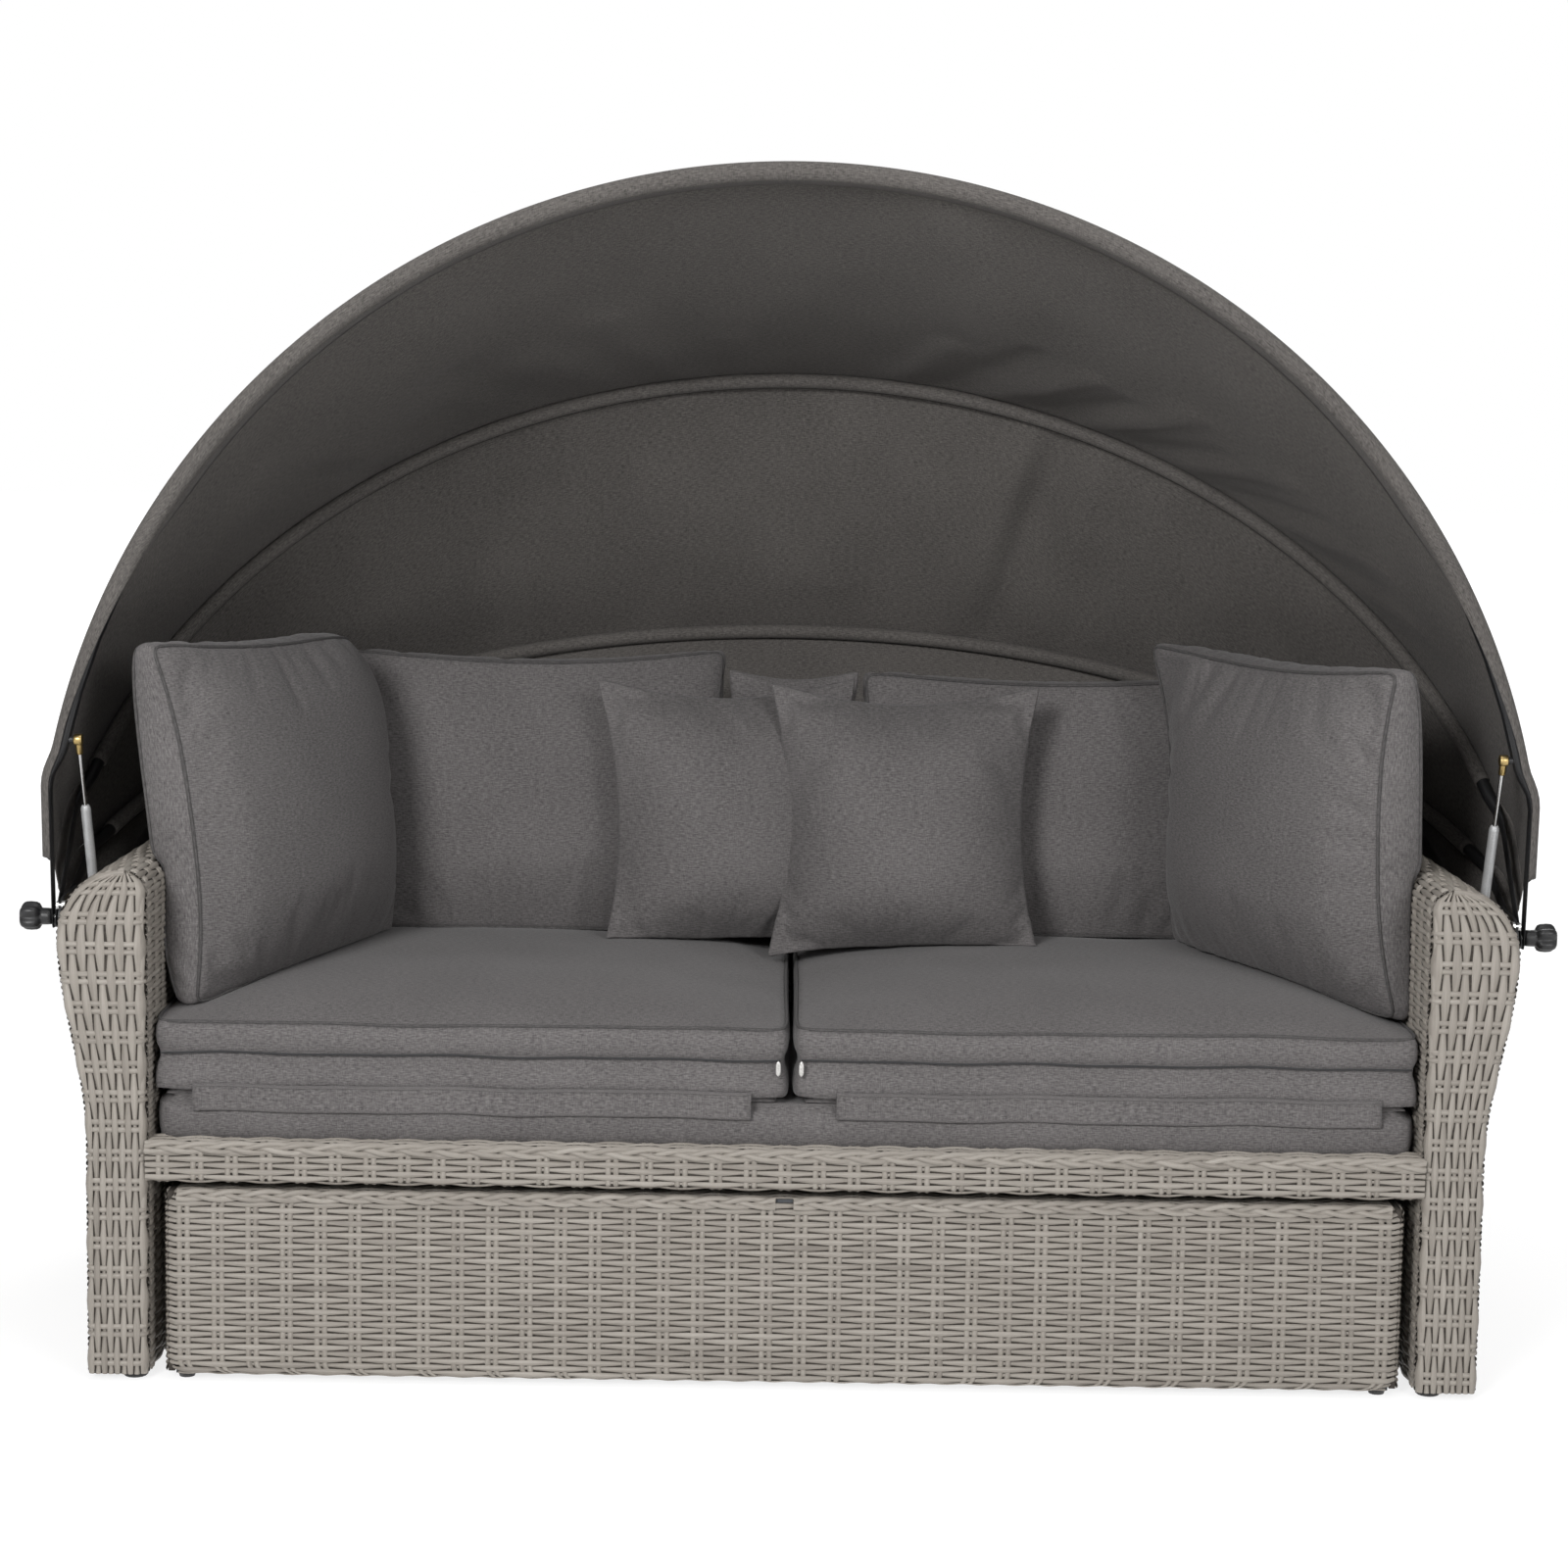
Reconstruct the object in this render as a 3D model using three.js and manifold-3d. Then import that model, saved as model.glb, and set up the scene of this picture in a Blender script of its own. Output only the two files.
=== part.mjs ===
// Outdoor daybed with a folding canopy, in millimetres, +Z up, front towards -Y.
// A woven sofa on a tube frame carries loose cushions, a footstool slides out from under
// its seat, and three hoops with cloth between them fold back on gas springs.
// The origin is on the floor, in the middle of the whole object.
import * as THREE from "three";
import { mergeVertices } from "three/addons/utils/BufferGeometryUtils.js";
import Module from "manifold-3d";

const wasm = await Module();
wasm.setup();

// Fits
const TOUCH = 0.3; // gap between pieces that rest on each other
const RUNNING = 0.5; // radial gap of a pin in its eye

// Sofa frame and weave
const HALF_INNER = 857; // middle of the sofa to the inner face of an arm
const LEG_WIDTH = 78;
const ARM_FLARE = 37; // how far the rolled arm swells out beyond the leg
const FLARE_START_Z = 330;
const FLARE_END_Z = 605;
const ARM_TOP_Z = 690;
const ARM_INNER_R = 28; // small round on the arm's inner top edge
const SOFA_DEPTH = 900;
const BACK_THICK = 78;
const WEAVE = 7; // wall of the woven skin
const GLIDE_HEIGHT = 8;
const GLIDE_R = 17;
const SKIRT_Z = 12; // lower edge of the skin between the legs
const RAIL_BOTTOM_Z = 273;
const RAIL_HEIGHT = 51;
const RAIL_DEPTH = 52;
const TUBE = 25; // square frame tube
const SLAT_COUNT = 4;
const SLAT_WIDTH = 40;

// Footstool
const FOOT_SIDE_ROOM = 27; // between the footstool and each leg
const FOOT_TOP_Z = 259;
const FOOT_BOTTOM_Z = 11;
const FOOT_DEPTH = 660;
const FOOT_INSET = 4; // front panel behind the front of the legs
const FOOT_WALL = 10;
const FOOT_CORNER_R = 18;
const TAB_WIDTH = 22;
const TAB_NOTCH = 20;

// Canopy hoops and their hinge
const PIVOT_FROM_REAR = 700; // in front of the back of the sofa
const PIVOT_Z = 600;
const HOOP_BEYOND_ARM = 61; // centre line of a hoop outside the widest part of the arm
const HOOP_TUBE_R = 9;
const BLADE_R = 180; // a hoop's flat end reaches this far from the pivot
const TAPER_R = 240; // and is round again from here
const BLADE_THICK = 4;
const BLADE_WIDTH = 22;
const EYE_END = 15; // end of the blade beyond the pivot
const BLADE_PITCH = 5; // blades lie side by side on the bolt
const BRACKET_GAP = 34; // inner face of the hinge bracket from the arm
const BRACKET_THICK = 4;
const BOLT_R = 4;
const FRONT_TILT = -4; // degrees back from upright
const MIDDLE_TILT = 42;
const REAR_TILT = 70;
const KNOB_R = 21;
const KNOB_LENGTH = 44;
const KNOB_LOBES = 5;

// Gas springs
const STUD_RADIUS_ON_HOOP = 250; // upper stud, from the pivot
const LOWER_STUD_Y = 75; // lower stud, behind and above the pivot
const LOWER_STUD_Z = 20;
const SPRING_GAP = 10; // plane in which a spring swings, from the arm
const SPRING_TUBE_R = 7;
const SPRING_TUBE_START = 12;
const SPRING_TUBE_LENGTH = 133;
const SPRING_BORE_R = 5;
const ROD_R = 3;
const SPRING_EYE_R = 8;
const SPRING_EYE_WIDTH = 12;
const COLLAR_LENGTH = 22;

// Canopy cloth
const CLOTH = 2;
const SEAM_GAP = 0.8; // between sheets sewn edge to edge
const CLOTH_OFFSET = 12.4; // cloth's middle, from a hoop's centre line
const CLOTH_START_R = 85; // lower hem, from the pivot
const CLOTH_SAG = 22;
const SEAM_ANGLE = 2; // degrees round a hoop from its outermost line to a panel's edge
const SLEEVE_LAP = 26;
const HEM_DROP = 40; // hem of the back panel, below the pivot
const HEM_GAP = 12; // hem outside the sofa
const BACK_FOLD = 9;

// Cushions
const CUSHION_GAP = 5;
const BASE_HEIGHT = 61;
const TOP_BOXING = 100;
const TOP_CROWN = 36;
const TOP_FULLNESS = 4; // flat on top, with most of its slope near the seam
const LOOSE_FULLNESS = 2.4;
const CUSHION_FRONT = 28;
const TOP_SPLIT = 6; // seam between the two top cushions, right of the middle
const SIDE_ROOM = 147; // room at each end of the row of back cushions
const MIDDLE_ROOM = 218; // and between them, for the squeezed pillow
const ROW_SHIFT = 4; // the row stands a little to the right
const BIG_BOXING = 48;
const BIG_CROWN = 36;
const BIG_PULL = 16;
// Loose cushions as they stand: the foot in from an arm (or from the middle) and in front of
// the rear end of the seat, degrees of yaw and lean
const SIDE_LEFT = { fromArm: 129, fromRear: 432, yaw: 19, lean: 3.5, height: 496 };
const SIDE_RIGHT = { fromArm: 119, fromRear: 432, yaw: 17, lean: -1, height: 482 };
const BACK_LEFT = { fromRear: 82, yaw: 0, lean: 8, height: 448 };
const BACK_RIGHT = { fromRear: 82, yaw: 0, lean: 8, height: 424 };
const THROW_LEFT = { x: -85, fromRear: 229, yaw: 12, lean: 12, thick: 92 };
const THROW_MIDDLE = { x: 174, fromRear: 297, yaw: 0, lean: 13, thick: 104 };
const THROW_SQUEEZED = { x: ROW_SHIFT, fromRear: 69, yaw: 0, lean: 6, thick: 70 };
const THROW_SIZE = 430;
const STANDING_LIFT = 16; // lower seam of a standing cushion above the seat's seam

const weave = new THREE.MeshStandardMaterial({ color: 0xa89e92, roughness: 0.7 });
const cushionCloth = new THREE.MeshStandardMaterial({ color: 0x5f5c5b, roughness: 0.95 });
const canopyCloth = new THREE.MeshStandardMaterial({ color: 0x4b4643, roughness: 0.95 });
const blackSteel = new THREE.MeshStandardMaterial({ color: 0x1d1d1e, roughness: 0.5, metalness: 0.4 });
const frameTube = new THREE.MeshStandardMaterial({ color: 0x3a3a3a, roughness: 0.6, metalness: 0.5 });
const zinc = new THREE.MeshStandardMaterial({ color: 0xb9bbbd, roughness: 0.35, metalness: 0.9 });
const springSilver = new THREE.MeshStandardMaterial({ color: 0xc9cbcd, roughness: 0.4, metalness: 0.4 });
const blackPlastic = new THREE.MeshStandardMaterial({ color: 0x18191a, roughness: 0.55 });
const webbing = new THREE.MeshStandardMaterial({ color: 0x3b3d40, roughness: 0.9 });

const daybed = new THREE.Group();
const radians = THREE.MathUtils.degToRad;
const mix = THREE.MathUtils.lerp;
const smooth = (value) => THREE.MathUtils.smoothstep(value, 0, 1);

function add(name, geometry, material) {
  const mesh = new THREE.Mesh(geometry, material);
  mesh.name = name;
  daybed.add(mesh);
  return mesh;
}

// Closed meshes and booleans

function bare(geometry) {
  const copy = geometry.clone();
  copy.deleteAttribute("normal");
  copy.deleteAttribute("uv");
  return mergeVertices(copy, 1e-4);
}

function signedVolume(geometry) {
  const p = geometry.attributes.position;
  const index = geometry.index;
  const [a, b, c] = [new THREE.Vector3(), new THREE.Vector3(), new THREE.Vector3()];
  let sum = 0;
  for (let i = 0; i < index.count; i += 3) {
    a.fromBufferAttribute(p, index.getX(i));
    b.fromBufferAttribute(p, index.getX(i + 1));
    c.fromBufferAttribute(p, index.getX(i + 2));
    sum += a.dot(b.cross(c)) / 6;
  }
  return sum;
}

function flipped(geometry) {
  const index = geometry.index;
  for (let i = 0; i < index.count; i += 3) {
    const second = index.getX(i + 1);
    index.setX(i + 1, index.getX(i + 2));
    index.setX(i + 2, second);
  }
  return geometry;
}

// A closed mesh from sheets, each a grid of points seen from outside; its volume says which side is out.
function closedMesh(sheets) {
  const positions = [];
  for (const rows of sheets) {
    for (let r = 0; r + 1 < rows.length; r++) {
      for (let c = 0; c + 1 < rows[r].length; c++) {
        const corners = [rows[r][c], rows[r][c + 1], rows[r + 1][c + 1], rows[r + 1][c]];
        for (const k of [0, 1, 2, 0, 2, 3]) {
          positions.push(...corners[k].toArray());
        }
      }
    }
  }
  const soup = new THREE.BufferGeometry();
  soup.setAttribute("position", new THREE.Float32BufferAttribute(positions, 3));
  const merged = mergeVertices(soup, 1e-4);
  const kept = [];
  for (let i = 0; i < merged.index.count; i += 3) {
    const [a, b, c] = [0, 1, 2].map((k) => merged.index.getX(i + k));
    if (a !== b && b !== c && c !== a) {
      kept.push(a, b, c);
    }
  }
  merged.setIndex(kept);
  return signedVolume(merged) < 0 ? flipped(merged) : merged;
}

function toSolid(geometry) {
  const mesh = bare(geometry);
  return new wasm.Manifold(new wasm.Mesh({
    numProp: 3,
    vertProperties: new Float32Array(mesh.attributes.position.array),
    triVerts: new Uint32Array(mesh.index.array),
  }));
}

function toGeometry(solid) {
  const mesh = solid.getMesh();
  const geometry = new THREE.BufferGeometry();
  geometry.setAttribute("position", new THREE.BufferAttribute(mesh.vertProperties, 3));
  geometry.setIndex(new THREE.BufferAttribute(mesh.triVerts, 1));
  return geometry;
}

function cut(geometry, ...tools) {
  return toGeometry(tools.reduce((left, tool) => left.subtract(toSolid(tool)), toSolid(geometry)));
}

function join(...geometries) {
  return toGeometry(geometries.map(toSolid).reduce((sum, next) => sum.add(next)));
}

function mirrored(geometry) {
  return flipped(bare(geometry).scale(-1, 1, 1));
}

// Both sides of a piece that is drawn on the right.
function addPair(name, geometry, material) {
  add(`${name}_right`, geometry, material);
  add(`${name}_left`, mirrored(geometry), material);
}

// Plain shapes

function block(x0, x1, y0, y1, z0, z1) {
  const geometry = new THREE.BoxGeometry(x1 - x0, y1 - y0, z1 - z0);
  return geometry.translate((x0 + x1) / 2, (y0 + y1) / 2, (z0 + z1) / 2);
}

// A shape drawn in X and Z, carried along Y.
function alongY(shape, y0, y1) {
  const geometry = new THREE.ExtrudeGeometry(shape, { depth: y1 - y0, bevelEnabled: false, curveSegments: 6 });
  return geometry.rotateX(Math.PI / 2).translate(0, y1, 0);
}

// A shape drawn in Y and Z, carried along X.
function alongX(shape, x0, x1) {
  const geometry = new THREE.ExtrudeGeometry(shape, { depth: x1 - x0, bevelEnabled: false, curveSegments: 6 });
  const turn = new THREE.Matrix4().makeBasis(
    new THREE.Vector3(0, 1, 0), new THREE.Vector3(0, 0, 1), new THREE.Vector3(1, 0, 0));
  return geometry.applyMatrix4(turn).translate(x0, 0, 0);
}

// A profile of [radius, height] turned about the Z axis.
function lathed(profile, sides = 16) {
  return new THREE.LatheGeometry(profile.map(([radius, z]) => new THREE.Vector2(radius, z)), sides)
    .rotateX(Math.PI / 2);
}

// A profile of [distance along X, radius] turned about a line parallel to X.
function turnedAboutX(profile, y, z, sides = 16) {
  const points = profile.map(([along, radius]) => new THREE.Vector2(radius, along));
  return new THREE.LatheGeometry(points, sides).rotateZ(-Math.PI / 2).translate(0, y, z);
}

function pinAlongX(x0, x1, radius, y, z, sides = 16) {
  return turnedAboutX([[x0, 0], [x0, radius], [x1, radius], [x1, 0]], y, z, sides);
}

function roundedRect(x0, x1, z0, z1, radius) {
  const shape = new THREE.Shape();
  shape.moveTo(x0 + radius, z0);
  shape.lineTo(x1 - radius, z0);
  shape.absarc(x1 - radius, z0 + radius, radius, -Math.PI / 2, 0);
  shape.lineTo(x1, z1 - radius);
  shape.absarc(x1 - radius, z1 - radius, radius, 0, Math.PI / 2);
  shape.lineTo(x0 + radius, z1);
  shape.absarc(x0 + radius, z1 - radius, radius, Math.PI / 2, Math.PI);
  shape.lineTo(x0, z0 + radius);
  shape.absarc(x0 + radius, z0 + radius, radius, Math.PI, 1.5 * Math.PI);
  return shape;
}

// Woven arms: one skin with front and rear legs, open below and towards the footstool

const LEG_OUTER = HALF_INNER + LEG_WIDTH;
const ARM_ROUND_X = HALF_INNER + ARM_INNER_R;
const ARM_WIDEST = LEG_OUTER + ARM_FLARE;
const HOOP_R = ARM_WIDEST + HOOP_BEYOND_ARM;
const PIVOT_Y = SOFA_DEPTH - PIVOT_FROM_REAR;
const FOOT_HALF = HALF_INNER - FOOT_SIDE_ROOM;
const BRACKET_X = ARM_WIDEST + BRACKET_GAP;
const SPRING_X = ARM_WIDEST + SPRING_GAP;

// The arm's outer face at a height, up to its widest line and over the rolled top.
function armOuterX(z) {
  if (z <= FLARE_END_Z) {
    return LEG_OUTER + ARM_FLARE * smooth((z - FLARE_START_Z) / (FLARE_END_Z - FLARE_START_Z));
  }
  const rise = (z - FLARE_END_Z) / (ARM_TOP_Z - FLARE_END_Z);
  return ARM_ROUND_X + (ARM_WIDEST - ARM_ROUND_X) * Math.sqrt(1 - rise * rise);
}

function armProfile(inset, bottomZ) {
  const shape = new THREE.Shape();
  const flareSteps = 7;
  shape.moveTo(HALF_INNER + inset, bottomZ);
  shape.lineTo(LEG_OUTER - inset, bottomZ);
  for (let i = 0; i <= flareSteps; i++) {
    const z = mix(FLARE_START_Z, FLARE_END_Z, i / flareSteps);
    shape.lineTo(armOuterX(z) - inset, z);
  }
  shape.absellipse(ARM_ROUND_X, FLARE_END_Z, ARM_WIDEST - ARM_ROUND_X - inset,
    ARM_TOP_Z - FLARE_END_Z - inset, 0, Math.PI / 2);
  shape.absarc(ARM_ROUND_X, ARM_TOP_Z - ARM_INNER_R, ARM_INNER_R - inset, Math.PI / 2, Math.PI);
  return shape;
}

const BORE = TUBE + 2 * TOUCH; // square hole for a frame tube
const RAIL_MID_Z = RAIL_BOTTOM_Z + RAIL_HEIGHT / 2;
const RAIL_TOP_Z = RAIL_BOTTOM_Z + RAIL_HEIGHT;
const REAR_LEG_Y = SOFA_DEPTH - LEG_WIDTH;
const BACK_FRONT_Y = SOFA_DEPTH - BACK_THICK;
const RAIL_TUBE_Y = RAIL_DEPTH / 2;
const REAR_TUBE_Y = BACK_FRONT_Y + WEAVE + TOUCH + TUBE / 2;
const ARM_TUBE_TOP_Z = ARM_TOP_Z - ARM_INNER_R;
const ARM_TUBE_MID_Z = ARM_TUBE_TOP_Z - TUBE / 2;

// Square hole through an arm's inner wall, where a cross tube meets the leg tube.
function crossTubeHole(y, z) {
  return block(HALF_INNER - 1, HALF_INNER + WEAVE + 1, y - BORE / 2, y + BORE / 2, z - BORE / 2, z + BORE / 2);
}

function armWeave() {
  const below = GLIDE_HEIGHT - 10;
  const inner = HALF_INNER + WEAVE;
  const outer = LEG_OUTER - WEAVE;
  const cavityBottom = RAIL_BOTTOM_Z;
  return cut(
    alongY(armProfile(0, GLIDE_HEIGHT + TOUCH), 0, SOFA_DEPTH),
    alongY(armProfile(WEAVE, cavityBottom), WEAVE, SOFA_DEPTH - WEAVE),
    block(inner, outer, WEAVE, LEG_WIDTH - WEAVE, below, cavityBottom + 1),
    block(inner, outer, REAR_LEG_Y + WEAVE, SOFA_DEPTH - WEAVE, below, cavityBottom + 1),
    block(HALF_INNER - 1, outer, LEG_WIDTH, REAR_LEG_Y, below, cavityBottom),
    block(outer - 1, LEG_OUTER + 1, LEG_WIDTH, REAR_LEG_Y, below, SKIRT_Z),
    crossTubeHole(RAIL_TUBE_Y, RAIL_MID_Z),
    crossTubeHole(REAR_TUBE_Y, RAIL_MID_Z),
    crossTubeHole(REAR_TUBE_Y, ARM_TUBE_MID_Z),
  );
}

addPair("arm_weave", armWeave(), weave);

// Woven back: a skin with a rolled top, open below, its rear face down to the skirt
function backWeave() {
  const half = HALF_INNER - TOUCH;
  const topRadius = 24;
  function profile(inset, bottomZ) {
    const front = BACK_FRONT_Y + inset;
    const rear = SOFA_DEPTH - inset;
    const radius = topRadius - inset;
    const shape = new THREE.Shape();
    shape.moveTo(front, bottomZ);
    shape.lineTo(rear, bottomZ);
    shape.lineTo(rear, ARM_TOP_Z - topRadius);
    shape.absarc(rear - radius, ARM_TOP_Z - topRadius, radius, 0, Math.PI / 2);
    shape.lineTo(front + radius, ARM_TOP_Z - inset);
    shape.absarc(front + radius, ARM_TOP_Z - topRadius, radius, Math.PI / 2, Math.PI);
    return shape;
  }
  return cut(
    alongX(profile(0, SKIRT_Z), -half, half),
    alongX(profile(WEAVE, SKIRT_Z - 5), -half - 1, half + 1),
    block(-half - 1, half + 1, BACK_FRONT_Y - 1, BACK_FRONT_Y + WEAVE + 1, SKIRT_Z - 5, RAIL_BOTTOM_Z),
  );
}

add("back_weave", backWeave(), weave);

function frontRailWeave() {
  const shape = roundedRect(0, RAIL_DEPTH, RAIL_BOTTOM_Z, RAIL_TOP_Z, 8);
  const hole = new THREE.Path();
  const [y0, y1] = [RAIL_TUBE_Y - BORE / 2, RAIL_TUBE_Y + BORE / 2];
  const [z0, z1] = [RAIL_MID_Z - BORE / 2, RAIL_MID_Z + BORE / 2];
  hole.moveTo(y0, z0).lineTo(y0, z1).lineTo(y1, z1).lineTo(y1, z0).closePath();
  shape.holes.push(hole);
  return alongX(shape, -HALF_INNER + TOUCH, HALF_INNER - TOUCH);
}

add("front_rail_weave", frontRailWeave(), weave);

// Tube frame inside the weave

const LEG_TUBE_X = HALF_INNER + WEAVE + TOUCH; // inner face of a leg tube
const CROSS_TUBE_HALF = LEG_TUBE_X - TOUCH;
const FRONT_LEG_Y = RAIL_TUBE_Y - TUBE / 2;

function crossTube(y, z) {
  return block(-CROSS_TUBE_HALF, CROSS_TUBE_HALF, y - TUBE / 2, y + TUBE / 2, z - TUBE / 2, z + TUBE / 2);
}

add("front_rail_tube", crossTube(RAIL_TUBE_Y, RAIL_MID_Z), frameTube);
add("rear_rail_tube", crossTube(REAR_TUBE_Y, RAIL_MID_Z), frameTube);
add("back_top_tube", crossTube(REAR_TUBE_Y, ARM_TUBE_MID_Z), frameTube);

const REAR_TUBE_START = REAR_TUBE_Y - TUBE / 2;

// One welded frame in each arm: two legs and the tube that joins them under the arm's top.
function armFrame() {
  const [x0, x1] = [LEG_TUBE_X, LEG_TUBE_X + TUBE];
  const leg = (y) => block(x0, x1, y, y + TUBE, GLIDE_HEIGHT + TOUCH, ARM_TUBE_TOP_Z);
  return join(leg(FRONT_LEG_Y), leg(REAR_TUBE_START),
    block(x0, x1, FRONT_LEG_Y + 1, REAR_TUBE_START + 1, ARM_TUBE_TOP_Z - TUBE, ARM_TUBE_TOP_Z));
}

function glide(y) {
  const disc = lathed([[0, 0], [GLIDE_R - 2, 0], [GLIDE_R, 2], [GLIDE_R, GLIDE_HEIGHT], [0, GLIDE_HEIGHT]]);
  return disc.translate(LEG_TUBE_X + TUBE / 2, y + TUBE / 2, 0);
}

addPair("arm_frame", armFrame(), frameTube);
addPair("front_glide", glide(FRONT_LEG_Y), blackPlastic);
addPair("rear_glide", glide(REAR_TUBE_START), blackPlastic);

for (let i = 0; i < SLAT_COUNT; i++) {
  const x = HALF_INNER * (2 * (i + 0.5) / SLAT_COUNT - 1);
  add(`seat_slat_${i + 1}`, block(x - SLAT_WIDTH / 2, x + SLAT_WIDTH / 2, RAIL_DEPTH + TOUCH,
    BACK_FRONT_Y - TOUCH, RAIL_TOP_Z - TUBE, RAIL_TOP_Z), frameTube);
}

// Footstool: woven panels on a small tube frame, which slides out on its own glides

const FOOT_FRAME_Y = FOOT_INSET + FOOT_WALL + TOUCH;
const FOOT_REAR_Y = FOOT_INSET + FOOT_DEPTH;
const FOOT_TUBE_TOP = FOOT_TOP_Z - FOOT_WALL - TOUCH;
const FOOT_TUBE_HALF = FOOT_HALF - FOOT_WALL - TOUCH;

function footstoolFront() {
  const outline = roundedRect(-FOOT_HALF, FOOT_HALF, FOOT_BOTTOM_Z, FOOT_TOP_Z, FOOT_CORNER_R);
  const notch = block(-TAB_WIDTH / 2 - 1, TAB_WIDTH / 2 + 1, FOOT_INSET - 1, FOOT_FRAME_Y,
    FOOT_TOP_Z - TAB_NOTCH, FOOT_TOP_Z + 1);
  return cut(alongY(outline, FOOT_INSET, FOOT_INSET + FOOT_WALL), notch);
}

// Looped webbing tab: folded over in the notch, its end clamped on the frame tube.
function pullTab() {
  const half = TAB_WIDTH / 2;
  const strip = block(-half, half, FOOT_INSET + 1, FOOT_INSET + 4, FOOT_TOP_Z - TAB_NOTCH + TOUCH, FOOT_TOP_Z + 2);
  const over = block(-half, half, FOOT_INSET + 1, FOOT_FRAME_Y - TOUCH, FOOT_TOP_Z - FOOT_WALL - TOUCH, FOOT_TOP_Z - TOUCH);
  return join(strip, over);
}

function footstoolTube(y) {
  return block(-FOOT_TUBE_HALF, FOOT_TUBE_HALF, y, y + TUBE, FOOT_TUBE_TOP - TUBE, FOOT_TUBE_TOP);
}

function footstoolLeg(y) {
  const foot = new THREE.CylinderGeometry(TUBE / 2, TUBE / 2 - 2, GLIDE_HEIGHT, 16);
  foot.rotateX(Math.PI / 2).translate(FOOT_TUBE_HALF - TUBE / 2, y + TUBE / 2, GLIDE_HEIGHT / 2);
  const leg = block(FOOT_TUBE_HALF - TUBE, FOOT_TUBE_HALF, y, y + TUBE,
    GLIDE_HEIGHT - 1, FOOT_TUBE_TOP - TUBE - TOUCH);
  return join(leg, foot);
}

add("footstool_front_weave", footstoolFront(), weave);
addPair("footstool_side_weave", block(FOOT_HALF - FOOT_WALL, FOOT_HALF, FOOT_FRAME_Y,
  FOOT_REAR_Y, FOOT_BOTTOM_Z, FOOT_TOP_Z), weave);
add("footstool_top_weave", block(-FOOT_TUBE_HALF, FOOT_TUBE_HALF, FOOT_FRAME_Y, FOOT_REAR_Y,
  FOOT_TOP_Z - FOOT_WALL, FOOT_TOP_Z), weave);
add("footstool_front_tube", footstoolTube(FOOT_FRAME_Y), frameTube);
add("footstool_rear_tube", footstoolTube(FOOT_REAR_Y - TUBE), frameTube);
addPair("footstool_front_leg", footstoolLeg(FOOT_FRAME_Y), frameTube);
addPair("footstool_rear_leg", footstoolLeg(FOOT_REAR_Y - TUBE), frameTube);
add("pull_tab", pullTab(), webbing);

// Hinge: a bracket on each arm, a bolt through the stacked ends of the hoops, a star knob

// Outline round several circles of [y, z, radius], as their common convex hull.
function plateOutline(circles) {
  const cloud = circles.flatMap(([y, z, radius]) => Array.from({ length: 16 }, (_, i) => {
    const angle = (2 * Math.PI * i) / 16;
    return new THREE.Vector2(y + radius * Math.cos(angle), z + radius * Math.sin(angle));
  }));
  cloud.sort((a, b) => a.x - b.x || a.y - b.y);
  const turnsLeft = (a, b, c) => (b.x - a.x) * (c.y - a.y) - (b.y - a.y) * (c.x - a.x) > 1e-9;
  const halfHull = (points) => {
    const hull = [];
    for (const point of points) {
      while (hull.length > 1 && !turnsLeft(hull.at(-2), hull.at(-1), point)) {
        hull.pop();
      }
      hull.push(point);
    }
    return hull.slice(0, -1);
  };
  return new THREE.Shape([...halfHull(cloud), ...halfHull([...cloud].reverse())]);
}

const SPACERS = { upper: [-20, 19], lower: [24, -17] }; // [y, z] from the pivot
const SPACER_R = 7;
const SCREW_R = 3;
const SPRING_INNER_X = SPRING_X - SPRING_EYE_WIDTH / 2;
const SPRING_OUTER_X = SPRING_X + SPRING_EYE_WIDTH / 2;
const BRACKET_OUTER_X = BRACKET_X + BRACKET_THICK;

function hingeBracket() {
  const plate = alongX(plateOutline([
    [PIVOT_Y, PIVOT_Z, 30],
    [PIVOT_Y + LOWER_STUD_Y, PIVOT_Z + LOWER_STUD_Z, 14],
    [PIVOT_Y, PIVOT_Z - 52, 5],
  ]), BRACKET_X, BRACKET_OUTER_X);
  const [studY, studZ] = [PIVOT_Y + LOWER_STUD_Y, PIVOT_Z + LOWER_STUD_Z];
  const stud = turnedAboutX([
    [SPRING_INNER_X - 3, 0], [SPRING_INNER_X - 3, BOLT_R + 2], [SPRING_INNER_X - RUNNING, BOLT_R + 2],
    [SPRING_INNER_X - RUNNING, BOLT_R], [SPRING_OUTER_X + RUNNING, BOLT_R],
    [SPRING_OUTER_X + RUNNING, BOLT_R + 3], [BRACKET_X + 1, BOLT_R + 3], [BRACKET_X + 1, 0],
  ], studY, studZ);
  const holes = [
    pinAlongX(BRACKET_X - 1, BRACKET_OUTER_X + 1, BOLT_R + TOUCH, PIVOT_Y, PIVOT_Z),
    ...Object.values(SPACERS).map(([y, z]) =>
      pinAlongX(BRACKET_X - 1, BRACKET_OUTER_X + 1, SCREW_R + TOUCH, PIVOT_Y + y, PIVOT_Z + z, 12)),
  ];
  return cut(join(plate, stud), ...holes);
}

const REAR_BLADE_X = BRACKET_OUTER_X + BLADE_THICK / 2 + TOUCH * 2;
const MIDDLE_BLADE_X = REAR_BLADE_X + BLADE_PITCH;
const FRONT_BLADE_X = MIDDLE_BLADE_X + BLADE_PITCH;
const KNOB_X = FRONT_BLADE_X + BLADE_THICK / 2 + RUNNING;
const BOLT_END_X = KNOB_X + KNOB_LENGTH / 2;

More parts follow.
